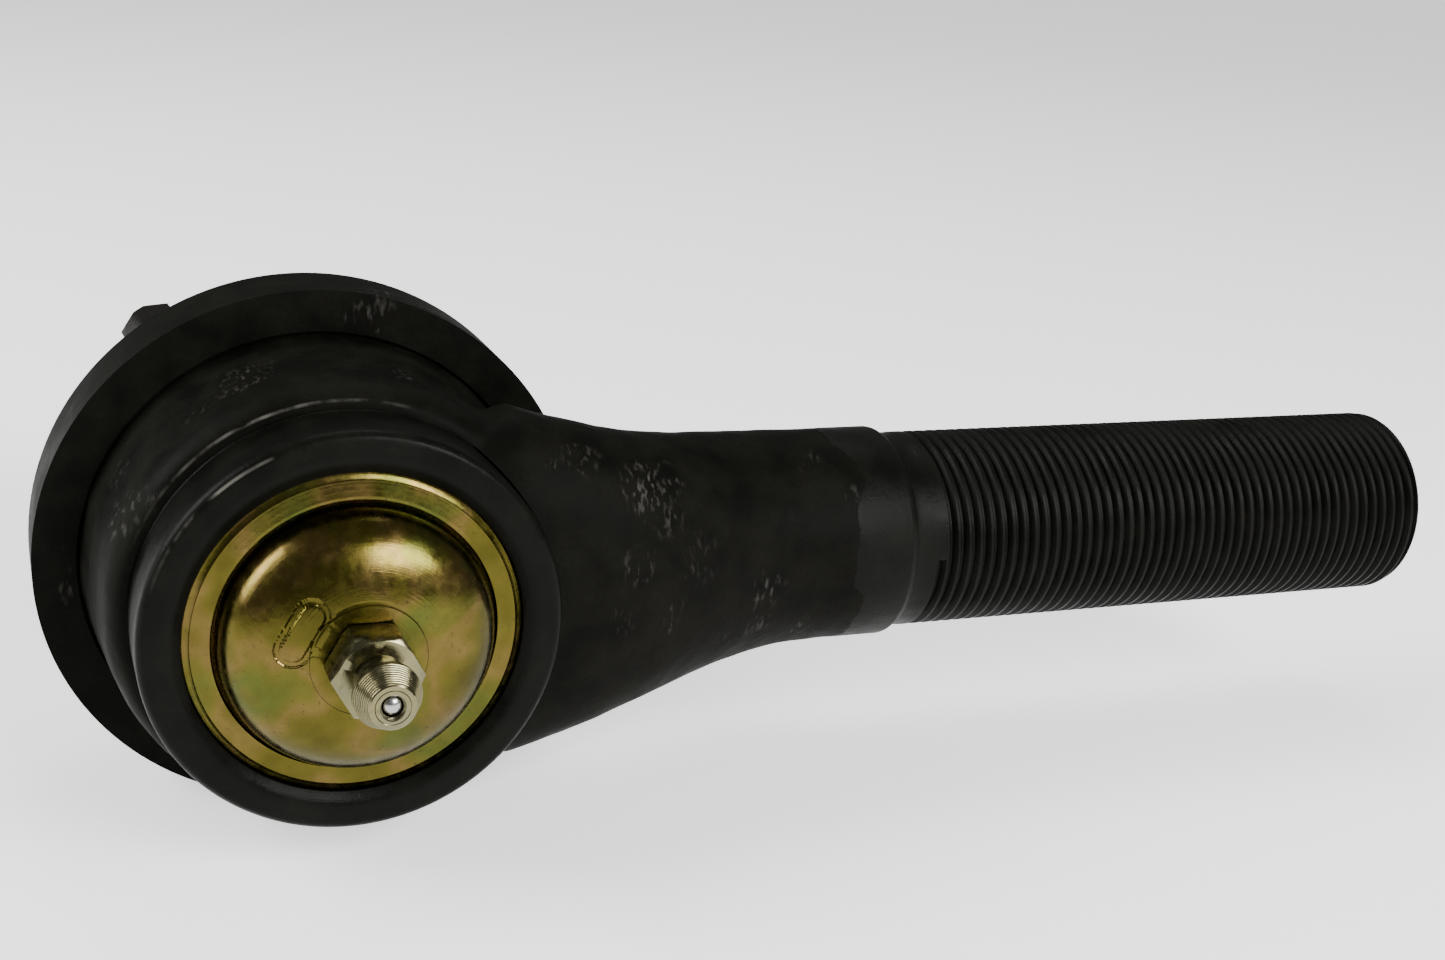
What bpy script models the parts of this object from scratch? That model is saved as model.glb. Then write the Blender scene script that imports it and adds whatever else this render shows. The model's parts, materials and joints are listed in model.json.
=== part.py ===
"""Tie rod end: a forged socket on a threaded shank, a ball stud in bearings, a crimped cover and a dust boot.

The shank runs along +X, the stud along +Y, and +Z is up. Sizes are in metres. Heights along the stud are
measured from the ball's centre, positive towards the nut, and the whole part stands on the origin.
"""

from math import acos, asin, cos, pi, radians, sin, sqrt

import bmesh
import bpy
from mathutils import Matrix, Vector

MM = 0.001

# Clearances.
BALL_GAP = 0.10 * MM
SLIDE_GAP = 0.10 * MM
SEAT_GAP = 0.30 * MM

# Ball stud.
BALL_RADIUS = 15.0 * MM
BALL_FLAT_HEIGHT = 11.5 * MM
STUD_NECK_RADIUS = 7.4 * MM
STUD_NECK_END = 18.0 * MM
STUD_BODY_RADIUS = 9.6 * MM
STUD_BODY_START = 27.0 * MM
STUD_BODY_LENGTH = 8.6 * MM
TAPER_RADIUS = 10.0 * MM
TAPER_LENGTH = 26.0 * MM
TAPER_RATIO = 1 / 8
STUD_THREAD_RADIUS = 8.0 * MM
STUD_THREAD_LENGTH = 24.4 * MM
STUD_CHAMFER = 1.0 * MM
STUD_LEAN = radians(4.0)

# Socket and its bearings.
BALL_OFFSET = 5.0 * MM
BEARING_WALL = 1.95 * MM
THROAT_ANGLE = radians(55.6)
SEAT_ANGLE = radians(55.2)
THROAT_FLARE = 2.8 * MM
THROAT_LENGTH = 6.1 * MM
LOWER_BEARING_TOP = 0.9 * MM
LOWER_BEARING_FLOOR = 0.8 * MM
COVER_LEDGE = 1.15 * MM
LIP_WALL = 3.0 * MM
LIP_ROLL = 1.1 * MM
LIP_THICKNESS = 0.95 * MM
LIP_EDGE_ROUND = 0.9 * MM
RECESS_WIDTH = 1.2 * MM
RECESS_DEPTH = 8.4 * MM
RECESS_FLOOR = 0.2 * MM
DRUM_STEP = 0.8 * MM
DRUM_SHOULDER = 1.5 * MM
DRUM_FLARE = 1.7 * MM
DRUM_CORNER = 0.5 * MM
BOOT_SEAT_DEPTH = 2.2 * MM
BOOT_SEAT_LENGTH = 7.2 * MM
BOOT_SEAT_CHAMFER = 0.7 * MM

# Neck and shank.
SHANK_THREAD_RADIUS = 12.0 * MM
SHANK_PLAIN_RADIUS = 12.8 * MM
SHANK_PLAIN_END = 66.5 * MM
SHANK_THREAD_START = 68.6 * MM
SHANK_COLLAR_END = 72.0 * MM
SHANK_COLLAR_DEPTH = 0.35 * MM
SHANK_END = 142.9 * MM
SHANK_CHAMFER = 1.5 * MM
NECK_ROOT_HALF_HEIGHT = 20.6 * MM
NECK_ROOT_HALF_DEPTH = 10.4 * MM
NECK_ROOT_DROP = 8.9 * MM
NECK_START = 8.0 * MM
NECK_ROOT_X = 18.4 * MM
NECK_END = 60.0 * MM
NECK_CORNER = 2.3
NECK_WAIST = 2.15
NECK_BEND_START = 0.12
NECK_BEND_SHARE = 0.80

# Cover plate.
COVER_THICKNESS = 1.5 * MM
FLANGE_RISE = 0.9 * MM
FLANGE_WIDTH = 3.6 * MM
GROOVE_WIDTH = 1.1 * MM
GROOVE_DEPTH = 1.4 * MM
DOME_RISE = 7.0 * MM
DOME_FULLNESS = 0.8
PAD_RADIUS = 6.3 * MM
PAD_STEP = 0.15 * MM
SEAL_SECTION = 0.35 * MM

# Spring pack under the cover.
PLATE_THICKNESS = 1.2 * MM
PLATE_OVERLAP = 2.4 * MM
SPRING_WIRE_RADIUS = 0.9 * MM
SPRING_TURNS = 2.6

# Grease fitting.
FITTING_HALF_FLATS = 3.97 * MM
FITTING_HEX_LENGTH = 4.4 * MM
FITTING_NECK_RADIUS = 2.45 * MM
FITTING_NECK_LENGTH = 3.0 * MM
FITTING_HEAD_RADIUS = 3.3 * MM
FITTING_TIP_RADIUS = 2.3 * MM
FITTING_HEAD_BAND = 0.9 * MM
FITTING_HEAD_TAPER = 2.6 * MM
FITTING_THREAD_RADIUS = 3.1 * MM
FITTING_THREAD_LENGTH = 5.2 * MM
FITTING_MOUTH_RADIUS = 1.05 * MM
FITTING_MOUTH_LENGTH = 0.45 * MM
FITTING_BORE_RADIUS = 1.5 * MM
FITTING_CRIMP_RADIUS = 0.9 * MM
FITTING_CRIMP_LENGTH = 0.6 * MM
CHECK_BALL_RADIUS = 1.19 * MM
CHECK_SPRING_WIRE = 0.16 * MM
CHECK_SPRING_TURNS = 6

# Dust boot and its rings.
BOOT_WALL = 2.3 * MM
BOOT_LIP_PROUD = 0.7 * MM
BOOT_BULGE = 1.9 * MM
BOOT_BULGE_HEIGHT = 9.6 * MM
BOOT_SWELL_BACK = 1.35 * MM
BOOT_SWELL_UP = 0.35 * MM
BOOT_SWELL_FULLNESS = 0.7
BOOT_SHOULDER_FULLNESS = 0.85
BOOT_SHOULDER_EASE = 1.15
BOOT_NECK_WALL = 1.9 * MM
BOOT_NECK_LENGTH = 5.0 * MM
BOOT_RING_WIDTH = 1.0 * MM
BOOT_RING_HEIGHT = 1.3 * MM
BOOT_RING_PLACE = 2.1 * MM
BUSHING_WALL = 1.7 * MM
BUSHING_HEIGHT = 5.6 * MM
CLAMP_WIRE_RADIUS = 0.7 * MM
CLAMP_SINK = 0.5 * MM

# Nut and cotter pin.
NUT_HALF_FLATS = 12.0 * MM
NUT_HEIGHT = 17.0 * MM
NUT_SLOT_WIDTH = 5.0 * MM
NUT_SLOT_DEPTH = 5.4 * MM
NUT_CHAMFER = 1.2 * MM
NUT_CORNER_SHARE = 0.965
NUT_CORNER_ANGLE = radians(28.0)
NUT_FACE_ROUND = 0.24 * MM
NUT_FROM_STUD_END = 2.4 * MM
PIN_WIRE_RADIUS = 0.85 * MM
PIN_LEG_GAP = 0.2 * MM
PIN_EYE_RADIUS = 2.3 * MM
PIN_LEG_OVERHANG = 2.4 * MM
PIN_HOLE_GAP = 0.30 * MM
PIN_SLOT_SHARE = 0.55
NUT_SLOT_COUNT = 6

# Facets.
DRUM_FACETS = 36
BALL_ROWS = 22
SMALL_FACETS = 18
NECK_FACETS = 36
SHARP_ANGLE = radians(32.0)

# Sizes that follow from the ones above.
SEAT_RADIUS = BALL_RADIUS + BALL_GAP
BEARING_RADIUS = SEAT_RADIUS + BEARING_WALL
SOCKET_RADIUS = BEARING_RADIUS + SEAT_GAP
COVER_BORE_RADIUS = SOCKET_RADIUS + COVER_LEDGE
COVER_RADIUS = COVER_BORE_RADIUS - SEAT_GAP
LIP_RADIUS = COVER_BORE_RADIUS + LIP_WALL
RECESS_RADIUS = LIP_RADIUS + RECESS_WIDTH
DRUM_RADIUS = LIP_RADIUS + DRUM_STEP
DRUM_END_RADIUS = DRUM_RADIUS + DRUM_SHOULDER + DRUM_FLARE
BOOT_SEAT_RADIUS = DRUM_END_RADIUS - BOOT_SEAT_DEPTH

LOWER_BEARING_FLOOR_HEIGHT = -BALL_FLAT_HEIGHT - LOWER_BEARING_FLOOR
SEAL_HEIGHT = LOWER_BEARING_FLOOR_HEIGHT - 2 * SEAT_GAP - SEAL_SECTION - SEAT_GAP
LEDGE_HEIGHT = SEAL_HEIGHT + SEAL_SECTION + SEAT_GAP
FLANGE_BACK = SEAL_HEIGHT - SEAL_SECTION - SEAT_GAP
FLANGE_FRONT = FLANGE_BACK - COVER_THICKNESS
LIP_UNDERSIDE = FLANGE_FRONT - SEAT_GAP
LIP_FACE = LIP_UNDERSIDE - LIP_THICKNESS
DRUM_STEP_HEIGHT = LIP_FACE + RECESS_DEPTH
SEAT_END_HEIGHT = SOCKET_RADIUS * cos(SEAT_ANGLE)
HOUSING_END = SEAT_END_HEIGHT + THROAT_LENGTH
DRUM_END = HOUSING_END - BOOT_SEAT_LENGTH

FLANGE_INNER_RADIUS = COVER_RADIUS - FLANGE_WIDTH
FLANGE_CREST = FLANGE_FRONT - FLANGE_RISE
DOME_RADIUS = FLANGE_INNER_RADIUS - GROOVE_WIDTH
GROOVE_HEIGHT = FLANGE_CREST + GROOVE_DEPTH
DOME_START = GROOVE_HEIGHT - 0.5 * GROOVE_DEPTH
DOME_TOP = DOME_START - DOME_RISE
FITTING_HOLE_RADIUS = FITTING_THREAD_RADIUS + SEAT_GAP
FITTING_BASE = DOME_TOP - SEAT_GAP

LOWER_HOLE_RADIUS = sqrt(SEAT_RADIUS**2 - LOWER_BEARING_FLOOR_HEIGHT**2)
PLATE_RADIUS = LOWER_HOLE_RADIUS + PLATE_OVERLAP
PLATE_TOP = LOWER_BEARING_FLOOR_HEIGHT - SEAT_GAP
PLATE_BOTTOM = PLATE_TOP - PLATE_THICKNESS
PLATE_HOLE_RADIUS = sqrt((BALL_RADIUS + SEAT_GAP) ** 2 - PLATE_TOP**2)
SPRING_TOP_RADIUS = PAD_RADIUS - SPRING_WIRE_RADIUS - SEAT_GAP

BUSHING_BORE_RADIUS = STUD_BODY_RADIUS + SLIDE_GAP
BUSHING_RADIUS = BUSHING_BORE_RADIUS + BUSHING_WALL
BUSHING_BOTTOM = STUD_BODY_START + 0.4 * (STUD_BODY_LENGTH - BUSHING_HEIGHT) + STUD_CHAMFER
BOOT_NECK_BORE = BUSHING_RADIUS + SEAT_GAP
BOOT_NECK_RADIUS = BOOT_NECK_BORE + BOOT_NECK_WALL
BOOT_NECK_BOTTOM = BUSHING_BOTTOM + 0.2 * (BUSHING_HEIGHT - BOOT_NECK_LENGTH)
BOOT_TOP = BOOT_NECK_BOTTOM + BOOT_NECK_LENGTH
BOOT_SKIRT_TOP = BOOT_NECK_BOTTOM - 0.6 * BOOT_WALL
BOOT_BEND_START = DRUM_END + 0.75 * BOOT_SEAT_LENGTH

TAPER_START = STUD_BODY_START + STUD_BODY_LENGTH
TAPER_END = TAPER_START + TAPER_LENGTH
TAPER_END_RADIUS = TAPER_RADIUS - 0.5 * TAPER_RATIO * TAPER_LENGTH
STUD_END = TAPER_END + STUD_THREAD_LENGTH
NUT_TOP = STUD_END - NUT_FROM_STUD_END
NUT_BOTTOM = NUT_TOP - NUT_HEIGHT
PIN_HEIGHT = NUT_TOP - PIN_SLOT_SHARE * NUT_SLOT_DEPTH
PIN_HALF_WIDTH = 2 * PIN_WIRE_RADIUS + 0.5 * PIN_LEG_GAP
PIN_HOLE_RADIUS = PIN_HALF_WIDTH + PIN_HOLE_GAP
PIN_ANGLE = NUT_CORNER_ANGLE + pi / NUT_SLOT_COUNT


def clear_scene():
    for old in list(bpy.data.objects):
        bpy.data.objects.remove(old, do_unlink=True)


def material(name, colour, roughness, metallic):
    made = bpy.data.materials.new(name)
    made.use_nodes = True
    shader = made.node_tree.nodes["Principled BSDF"]
    shader.inputs["Base Color"].default_value = (*colour, 1.0)
    shader.inputs["Roughness"].default_value = roughness
    shader.inputs["Metallic"].default_value = metallic
    return made


def finish(name, mesh, surface, parent):
    """An object from a bmesh: smooth where round, sharp at its edges."""
    bmesh.ops.recalc_face_normals(mesh, faces=mesh.faces)
    data = bpy.data.meshes.new(name)
    mesh.to_mesh(data)
    mesh.free()
    data.shade_smooth()
    data.set_sharp_from_angle(angle=SHARP_ANGLE)
    data.materials.append(surface)
    made = bpy.data.objects.new(name, data)
    bpy.context.scene.collection.objects.link(made)
    made.parent = parent
    return made


def helper(made):
    """Marks a cutter, which shapes another object and is left out itself."""
    made.hide_render = True
    made.display_type = "WIRE"
    return made


def cut(body, cutter, operation="DIFFERENCE"):
    modifier = body.modifiers.new(cutter.name, "BOOLEAN")
    modifier.operation = operation
    modifier.solver = "EXACT"
    modifier.object = helper(cutter)


def arc(radius, start, end, steps):
    """(radius, height) points on a ball's section, between two angles measured from the stud's direction."""
    angles = [start + (end - start) * k / steps for k in range(steps + 1)]
    return [(radius * sin(a), radius * cos(a)) for a in angles]


def turned_mesh(outline, facets, hexagon=()):
    """A closed outline of (radius, height) points, turned about Y. Rows named in hexagon have six flats."""
    mesh = bmesh.new()
    rings = []
    for row, (radius, height) in enumerate(outline):
        if radius < 1e-7:
            rings.append([mesh.verts.new((0.0, height, 0.0))])
            continue
        ring = []
        for k in range(facets):
            angle = 2 * pi * k / facets
            off_flat = (angle + pi / 6) % (pi / 3) - pi / 6
            reach = radius / cos(off_flat) if row in hexagon else radius
            ring.append(mesh.verts.new((reach * sin(angle), height, reach * cos(angle))))
        rings.append(ring)
    pairs = list(zip(rings, rings[1:]))
    if len(rings[0]) > 1 and len(rings[-1]) > 1:
        pairs.append((rings[-1], rings[0]))
    for low, high in pairs:
        for k in range(facets):
            near = (k + 1) % facets
            corners = [low[k % len(low)], low[near % len(low)], high[near % len(high)], high[k % len(high)]]
            face = [c for n, c in enumerate(corners) if c not in corners[:n]]
            if len(face) > 2:
                mesh.faces.new(face)
    return mesh


def turned(name, outline, surface, parent, facets=DRUM_FACETS, hexagon=()):
    return finish(name, turned_mesh(outline, facets, hexagon), surface, parent)


def coil(name, wire, turns, bottom, top, bottom_radius, top_radius, surface, parent, facets=6, steps=16):
    """A coil spring about Y with one flat turn at each end, as a bevelled curve."""
    curve = bpy.data.curves.new(name, "CURVE")
    curve.dimensions = "3D"
    curve.bevel_depth = wire
    curve.bevel_resolution = (facets - 4) // 2
    curve.use_fill_caps = True
    count = int(turns * steps) + 1
    spline = curve.splines.new("POLY")
    spline.points.add(count - 1)
    for k, point in enumerate(spline.points):
        share = k / (count - 1)
        angle = 2 * pi * turns * share
        radius = bottom_radius + (top_radius - bottom_radius) * share
        height = bottom + (top - bottom) * share
        point.co = (radius * sin(angle), height, radius * cos(angle), 1.0)
    curve.materials.append(surface)
    made = bpy.data.objects.new(name, curve)
    bpy.context.scene.collection.objects.link(made)
    made.parent = parent
    return made


def bend_with_stud(body, low, high):
    """Turns each point about the ball's centre, from nothing at the height low to the stud's lean at high.

    Between the two heights the wall also swells to the side that the stud leans to, and a little up.
    """
    for vertex in body.data.vertices:
        share = min(max((vertex.co.y - low) / (high - low), 0.0), 1.0)
        swell = sin(pi * share) ** BOOT_SWELL_FULLNESS
        share = share * share * (3 - 2 * share)
        vertex.co = Matrix.Rotation(STUD_LEAN * share, 3, "Z") @ vertex.co
        vertex.co += swell * Vector((-BOOT_SWELL_BACK, 0.0, BOOT_SWELL_UP))


def drum_outline():
    """The socket's solid section: the outside from the lip to the boot seat, then the bore back to the lip."""
    outside = [
        (COVER_RADIUS - 1.6 * LIP_ROLL, LIP_FACE + 0.6 * LIP_THICKNESS),
        (COVER_RADIUS - 0.2 * LIP_ROLL, LIP_FACE - 0.15 * LIP_THICKNESS),
        (LIP_RADIUS - LIP_EDGE_ROUND, LIP_FACE),
        (LIP_RADIUS - 0.25 * LIP_EDGE_ROUND, LIP_FACE + 0.3 * LIP_EDGE_ROUND),
        (LIP_RADIUS, LIP_FACE + LIP_EDGE_ROUND),
        (LIP_RADIUS, DRUM_STEP_HEIGHT),
        (DRUM_RADIUS, DRUM_STEP_HEIGHT),
        (DRUM_RADIUS + 0.8 * DRUM_SHOULDER, DRUM_STEP_HEIGHT + 0.7 * DRUM_SHOULDER),
        (DRUM_RADIUS + DRUM_SHOULDER, DRUM_STEP_HEIGHT + 1.8 * DRUM_SHOULDER),
        (DRUM_END_RADIUS - DRUM_CORNER / 2, DRUM_END - DRUM_CORNER),
        (DRUM_END_RADIUS - DRUM_CORNER, DRUM_END),
        (BOOT_SEAT_RADIUS, DRUM_END),
        (BOOT_SEAT_RADIUS, HOUSING_END - BOOT_SEAT_CHAMFER),
        (BOOT_SEAT_RADIUS - BOOT_SEAT_CHAMFER, HOUSING_END),
    ]
    bore = [(SOCKET_RADIUS * sin(SEAT_ANGLE) + THROAT_FLARE, HOUSING_END)]
    bore += arc(SOCKET_RADIUS, SEAT_ANGLE, pi / 2, 5)
    bore += [
        (SOCKET_RADIUS, LEDGE_HEIGHT),
        (COVER_BORE_RADIUS, LEDGE_HEIGHT),
        (COVER_BORE_RADIUS, LIP_UNDERSIDE),
        (COVER_RADIUS - LIP_ROLL, LIP_UNDERSIDE),
    ]
    return outside, bore


def neck_section(x):
    """Half height, half depth and drop towards the cover of the forged neck at a place along the shank."""
    share = min(max((x - NECK_ROOT_X) / (NECK_END - NECK_ROOT_X), 0.0), 1.0)
    waist = (1 - share) ** NECK_WAIST
    half_height = SHANK_PLAIN_RADIUS + (NECK_ROOT_HALF_HEIGHT - SHANK_PLAIN_RADIUS) * waist
    ease = share * share * (3 - 2 * share)
    half_depth = NECK_ROOT_HALF_DEPTH + (SHANK_PLAIN_RADIUS - NECK_ROOT_HALF_DEPTH) * ease
    late = min(max((share - NECK_BEND_START) / NECK_BEND_SHARE, 0.0), 1.0)
    drop = NECK_ROOT_DROP * (1 - late * late * (3 - 2 * late))
    corner = 2.0 + (NECK_CORNER - 2.0) * (1 - ease)
    return half_height, half_depth, drop, corner


def neck_rings():
    """(place along the shank, half height, half depth, drop, corner) from inside the drum to the thread's end."""
    count = 10
    stations = [NECK_ROOT_X + (NECK_END - NECK_ROOT_X) * k / count for k in range(count + 1)]
    rings = [(x, *neck_section(x)) for x in [NECK_START] + stations]
    collar_radius = SHANK_THREAD_RADIUS - SHANK_COLLAR_DEPTH
    turned_part = [
        (SHANK_PLAIN_END, SHANK_PLAIN_RADIUS),
        (SHANK_THREAD_START, collar_radius),
        (SHANK_COLLAR_END, collar_radius),
        (SHANK_COLLAR_END + SHANK_COLLAR_DEPTH, SHANK_THREAD_RADIUS),
        (SHANK_END - SHANK_CHAMFER, SHANK_THREAD_RADIUS),
        (SHANK_END, SHANK_THREAD_RADIUS - SHANK_CHAMFER),
    ]
    return rings + [(x, radius, radius, 0.0, 2.0) for x, radius in turned_part]


def neck_mesh():
    """The forged neck and the shank in one loft of rounded rings."""
    mesh = bmesh.new()
    rings = []
    for x, half_height, half_depth, drop, corner in neck_rings():
        ring = []
        for k in range(NECK_FACETS):
            angle = 2 * pi * k / NECK_FACETS
            across, up = cos(angle), sin(angle)
            y = half_depth * abs(across) ** (2 / corner) * (1 if across > 0 else -1)
            z = half_height * abs(up) ** (2 / corner) * (1 if up > 0 else -1)
            ring.append(mesh.verts.new((x, BALL_OFFSET - drop + y, z)))
        rings.append(ring)
    for near, far in zip(rings, rings[1:]):
        for k in range(NECK_FACETS):
            after = (k + 1) % NECK_FACETS
            mesh.faces.new((near[k], far[k], far[after], near[after]))
    mesh.faces.new(rings[0])
    mesh.faces.new(reversed(rings[-1]))
    return mesh


def make_housing(surface, parent):
    """One forging: neck and shank, cleared round the lip, joined to the drum, with the socket bored through."""
    outside, bore = drum_outline()
    housing = finish("housing", neck_mesh(), surface, parent)
    low = LIP_FACE - LIP_WALL
    floor = DRUM_STEP_HEIGHT - RECESS_FLOOR
    recess = [(0.0, low), (RECESS_RADIUS, low), (RECESS_RADIUS, floor), (0.0, floor)]
    cut(housing, turned("recess_cutter", recess, surface, parent))
    blank = [(0.0, outside[0][1])] + outside + [(0.0, HOUSING_END)]
    cut(housing, turned("drum_blank", blank, surface, parent), "UNION")
    past = THROAT_FLARE
    slope = THROAT_FLARE / THROAT_LENGTH
    socket = [(0.0, HOUSING_END + past), (bore[0][0] + past * slope, HOUSING_END + past)] + bore[1:]
    socket += [(bore[-1][0], low), (0.0, low)]
    cut(housing, turned("socket_cutter", socket, surface, parent))
    return housing


def make_upper_bearing(surface, parent):
    """The cup between the ball and the socket on the stud's side."""
    inner = arc(SEAT_RADIUS, THROAT_ANGLE, pi / 2, 5)
    outer = arc(BEARING_RADIUS, pi / 2, THROAT_ANGLE, 5)
    return turned("upper_bearing", inner + outer, surface, parent)


def make_lower_bearing(surface, parent):
    """The seat that the spring pushes against the ball from the cover's side. It slides in the socket's bore."""
    start = acos(-LOWER_BEARING_TOP / SEAT_RADIUS)
    end = acos(LOWER_BEARING_FLOOR_HEIGHT / SEAT_RADIUS)
    inner = arc(SEAT_RADIUS, end, start, 7)
    side = SOCKET_RADIUS - SLIDE_GAP
    outer = [(side, -LOWER_BEARING_TOP), (side, LOWER_BEARING_FLOOR_HEIGHT)]
    return turned("lower_bearing", inner + outer, surface, parent)


def make_ball_stud(surface, parent):
    """Ball with a flat end, waisted neck, plain body, 1 in 8 taper and threaded end, with the pin's hole."""
    flat_angle = acos(-BALL_FLAT_HEIGHT / BALL_RADIUS)
    neck_angle = asin(STUD_NECK_RADIUS / BALL_RADIUS)
    outline = [(0.0, -BALL_FLAT_HEIGHT)]
    outline += arc(BALL_RADIUS, flat_angle, neck_angle, BALL_ROWS * 3 // 4)
    outline += [
        (STUD_NECK_RADIUS, STUD_NECK_END),
        (STUD_BODY_RADIUS, STUD_BODY_START),
        (STUD_BODY_RADIUS, TAPER_START),
        (TAPER_RADIUS, TAPER_START),
        (TAPER_END_RADIUS, TAPER_END),
        (STUD_THREAD_RADIUS, TAPER_END),
        (STUD_THREAD_RADIUS, STUD_END - STUD_CHAMFER),
        (STUD_THREAD_RADIUS - STUD_CHAMFER, STUD_END),
        (0.0, STUD_END),
    ]
    stud = turned("ball_stud", outline, surface, parent)
    reach = 2 * STUD_THREAD_RADIUS
    hole = turned_mesh([(0, -reach), (PIN_HOLE_RADIUS, -reach), (PIN_HOLE_RADIUS, reach), (0, reach)], 16)
    cutter = finish("pin_hole_cutter", hole, surface, parent)
    cutter.matrix_local = pin_frame()
    cut(stud, cutter)
    return stud


def pin_frame():
    """The cotter pin's own frame: its +Y runs along the hole, towards the eye."""
    along = Vector((sin(PIN_ANGLE), 0.0, cos(PIN_ANGLE)))
    across = Vector((0.0, 1.0, 0.0))
    side = along.cross(across)
    turn = Matrix((side, along, across)).transposed().to_4x4()
    return Matrix.Translation((0.0, PIN_HEIGHT, 0.0)) @ turn


def make_nut(surface, parent):
    """A hexagon nut with six slots across its top for the cotter pin."""
    across_corners = NUT_HALF_FLATS / cos(pi / 6)
    corner = across_corners * NUT_CORNER_SHARE
    bore = STUD_THREAD_RADIUS + SEAT_GAP
    outline = [
        (bore, NUT_BOTTOM + NUT_CHAMFER),
        (bore + NUT_CHAMFER, NUT_BOTTOM),
        (NUT_HALF_FLATS - NUT_FACE_ROUND, NUT_BOTTOM),
        (corner, NUT_BOTTOM + NUT_CHAMFER),
        (corner, NUT_TOP - NUT_CHAMFER),
        (NUT_HALF_FLATS - NUT_FACE_ROUND, NUT_TOP),
        (bore + NUT_CHAMFER, NUT_TOP),
        (bore, NUT_TOP - NUT_CHAMFER),
    ]
    nut = turned("castle_nut", outline, surface, parent)
    reach = NUT_HEIGHT
    hexagon = [(0, NUT_BOTTOM - reach), (across_corners, NUT_BOTTOM - reach)]
    hexagon += [(across_corners, NUT_TOP + reach), (0, NUT_TOP + reach)]
    prism = finish("nut_hexagon", turned_mesh(hexagon, 6), surface, parent)
    prism.rotation_euler = (0.0, NUT_CORNER_ANGLE, 0.0)
    cut(nut, prism, "INTERSECT")
    for k in range(NUT_SLOT_COUNT // 2):
        slot = bmesh.new()
        bmesh.ops.create_cube(slot, size=1.0)
        bmesh.ops.scale(slot, verts=slot.verts, vec=(NUT_SLOT_WIDTH, 2 * NUT_SLOT_DEPTH, 4 * NUT_HALF_FLATS))
        cutter = finish(f"nut_slot_cutter_{k + 1}", slot, surface, parent)
        cutter.location = (0.0, NUT_TOP, 0.0)
        cutter.rotation_euler = (0.0, PIN_ANGLE + k * pi / 3, 0.0)
        cut(nut, cutter)
    return nut


def make_cotter_pin(surface, parent):
    """A split pin as supplied, with straight legs: one wire bent round an eye."""
    spread = PIN_WIRE_RADIUS + 0.5 * PIN_LEG_GAP
    neck = NUT_HALF_FLATS + PIN_WIRE_RADIUS
    leg_end = -(NUT_HALF_FLATS + PIN_LEG_OVERHANG)
    centre = neck + sqrt((PIN_EYE_RADIUS + PIN_WIRE_RADIUS) ** 2 - spread**2)
    open_angle = asin(spread / (PIN_EYE_RADIUS + PIN_WIRE_RADIUS))
    steps = 14
    path = [(-spread, leg_end)]
    for k in range(steps + 1):
        angle = pi + open_angle + (2 * pi - 2 * open_angle) * k / steps
        radius = PIN_EYE_RADIUS + PIN_WIRE_RADIUS
        path.append((radius * sin(angle), centre + radius * cos(angle)))
    path.append((spread, leg_end))
    curve = bpy.data.curves.new("cotter_pin", "CURVE")
    curve.dimensions = "3D"
    curve.bevel_depth = PIN_WIRE_RADIUS
    curve.bevel_resolution = 2
    curve.use_fill_caps = True
    spline = curve.splines.new("POLY")
    spline.points.add(len(path) - 1)
    for point, (side, along) in zip(spline.points, path):
        point.co = (0.0, along, side, 1.0)
    curve.materials.append(surface)
    pin = bpy.data.objects.new("cotter_pin", curve)
    bpy.context.scene.collection.objects.link(pin)
    pin.parent = parent
    pin.matrix_local = pin_frame()
    return pin


def dome(radius, start, rise, stop_radius, steps=6):
    """A full dome's section from its shoulder in to stop_radius, as (radius, height) towards -Y."""
    last = acos((stop_radius / radius) ** (1 / DOME_FULLNESS))
    angles = [last * k / steps for k in range(steps + 1)]
    return [
        (radius * cos(a) ** DOME_FULLNESS, start - rise * sin(a) ** DOME_FULLNESS)
        for a in angles
    ]


def make_cover(surface, parent):
    """The pressed cover: flat rim under the lip, groove, dome and a flat pad with the fitting's hole."""
    wall = COVER_THICKNESS
    front = [
        (COVER_RADIUS, FLANGE_FRONT),
        (FLANGE_INNER_RADIUS, FLANGE_CREST),
        (FLANGE_INNER_RADIUS - 0.25 * GROOVE_WIDTH, FLANGE_CREST),
        (DOME_RADIUS + 0.3 * GROOVE_WIDTH, GROOVE_HEIGHT),
    ]
    front += dome(DOME_RADIUS, DOME_START, DOME_RISE, PAD_RADIUS)
    front += [(PAD_RADIUS - PAD_STEP, DOME_TOP), (FITTING_HOLE_RADIUS, DOME_TOP)]
    back = [(FITTING_HOLE_RADIUS, DOME_TOP + wall)]
    back += reversed(dome(DOME_RADIUS - wall, DOME_START, DOME_RISE - wall, PAD_RADIUS))
    back += [
        (DOME_RADIUS - 0.8 * wall, GROOVE_HEIGHT + 0.8 * wall),
        (FLANGE_INNER_RADIUS, GROOVE_HEIGHT + 0.8 * wall),
        (FLANGE_INNER_RADIUS + wall, FLANGE_BACK),
        (COVER_RADIUS, FLANGE_BACK),
    ]
    return turned("cover_plate", front + back, surface, parent)


def ring(name, radius, height, section, surface, parent, facets=DRUM_FACETS, sides=10):
    """A round-section ring about the stud's direction."""
    outline = []
    for k in range(sides):
        angle = 2 * pi * k / sides
        outline.append((radius + section * cos(angle), height + section * sin(angle)))
    return turned(name, outline, surface, parent, facets)


def make_pressure_plate(surface, parent):
    """The washer between the spring and the lower bearing. Its hole clears the ball at any lean."""
    outline = [
        (PLATE_HOLE_RADIUS, PLATE_BOTTOM),
        (PLATE_RADIUS, PLATE_BOTTOM),
        (PLATE_RADIUS, PLATE_TOP),
        (PLATE_HOLE_RADIUS, PLATE_TOP),
    ]
    return turned("pressure_plate", outline, surface, parent)


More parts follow.
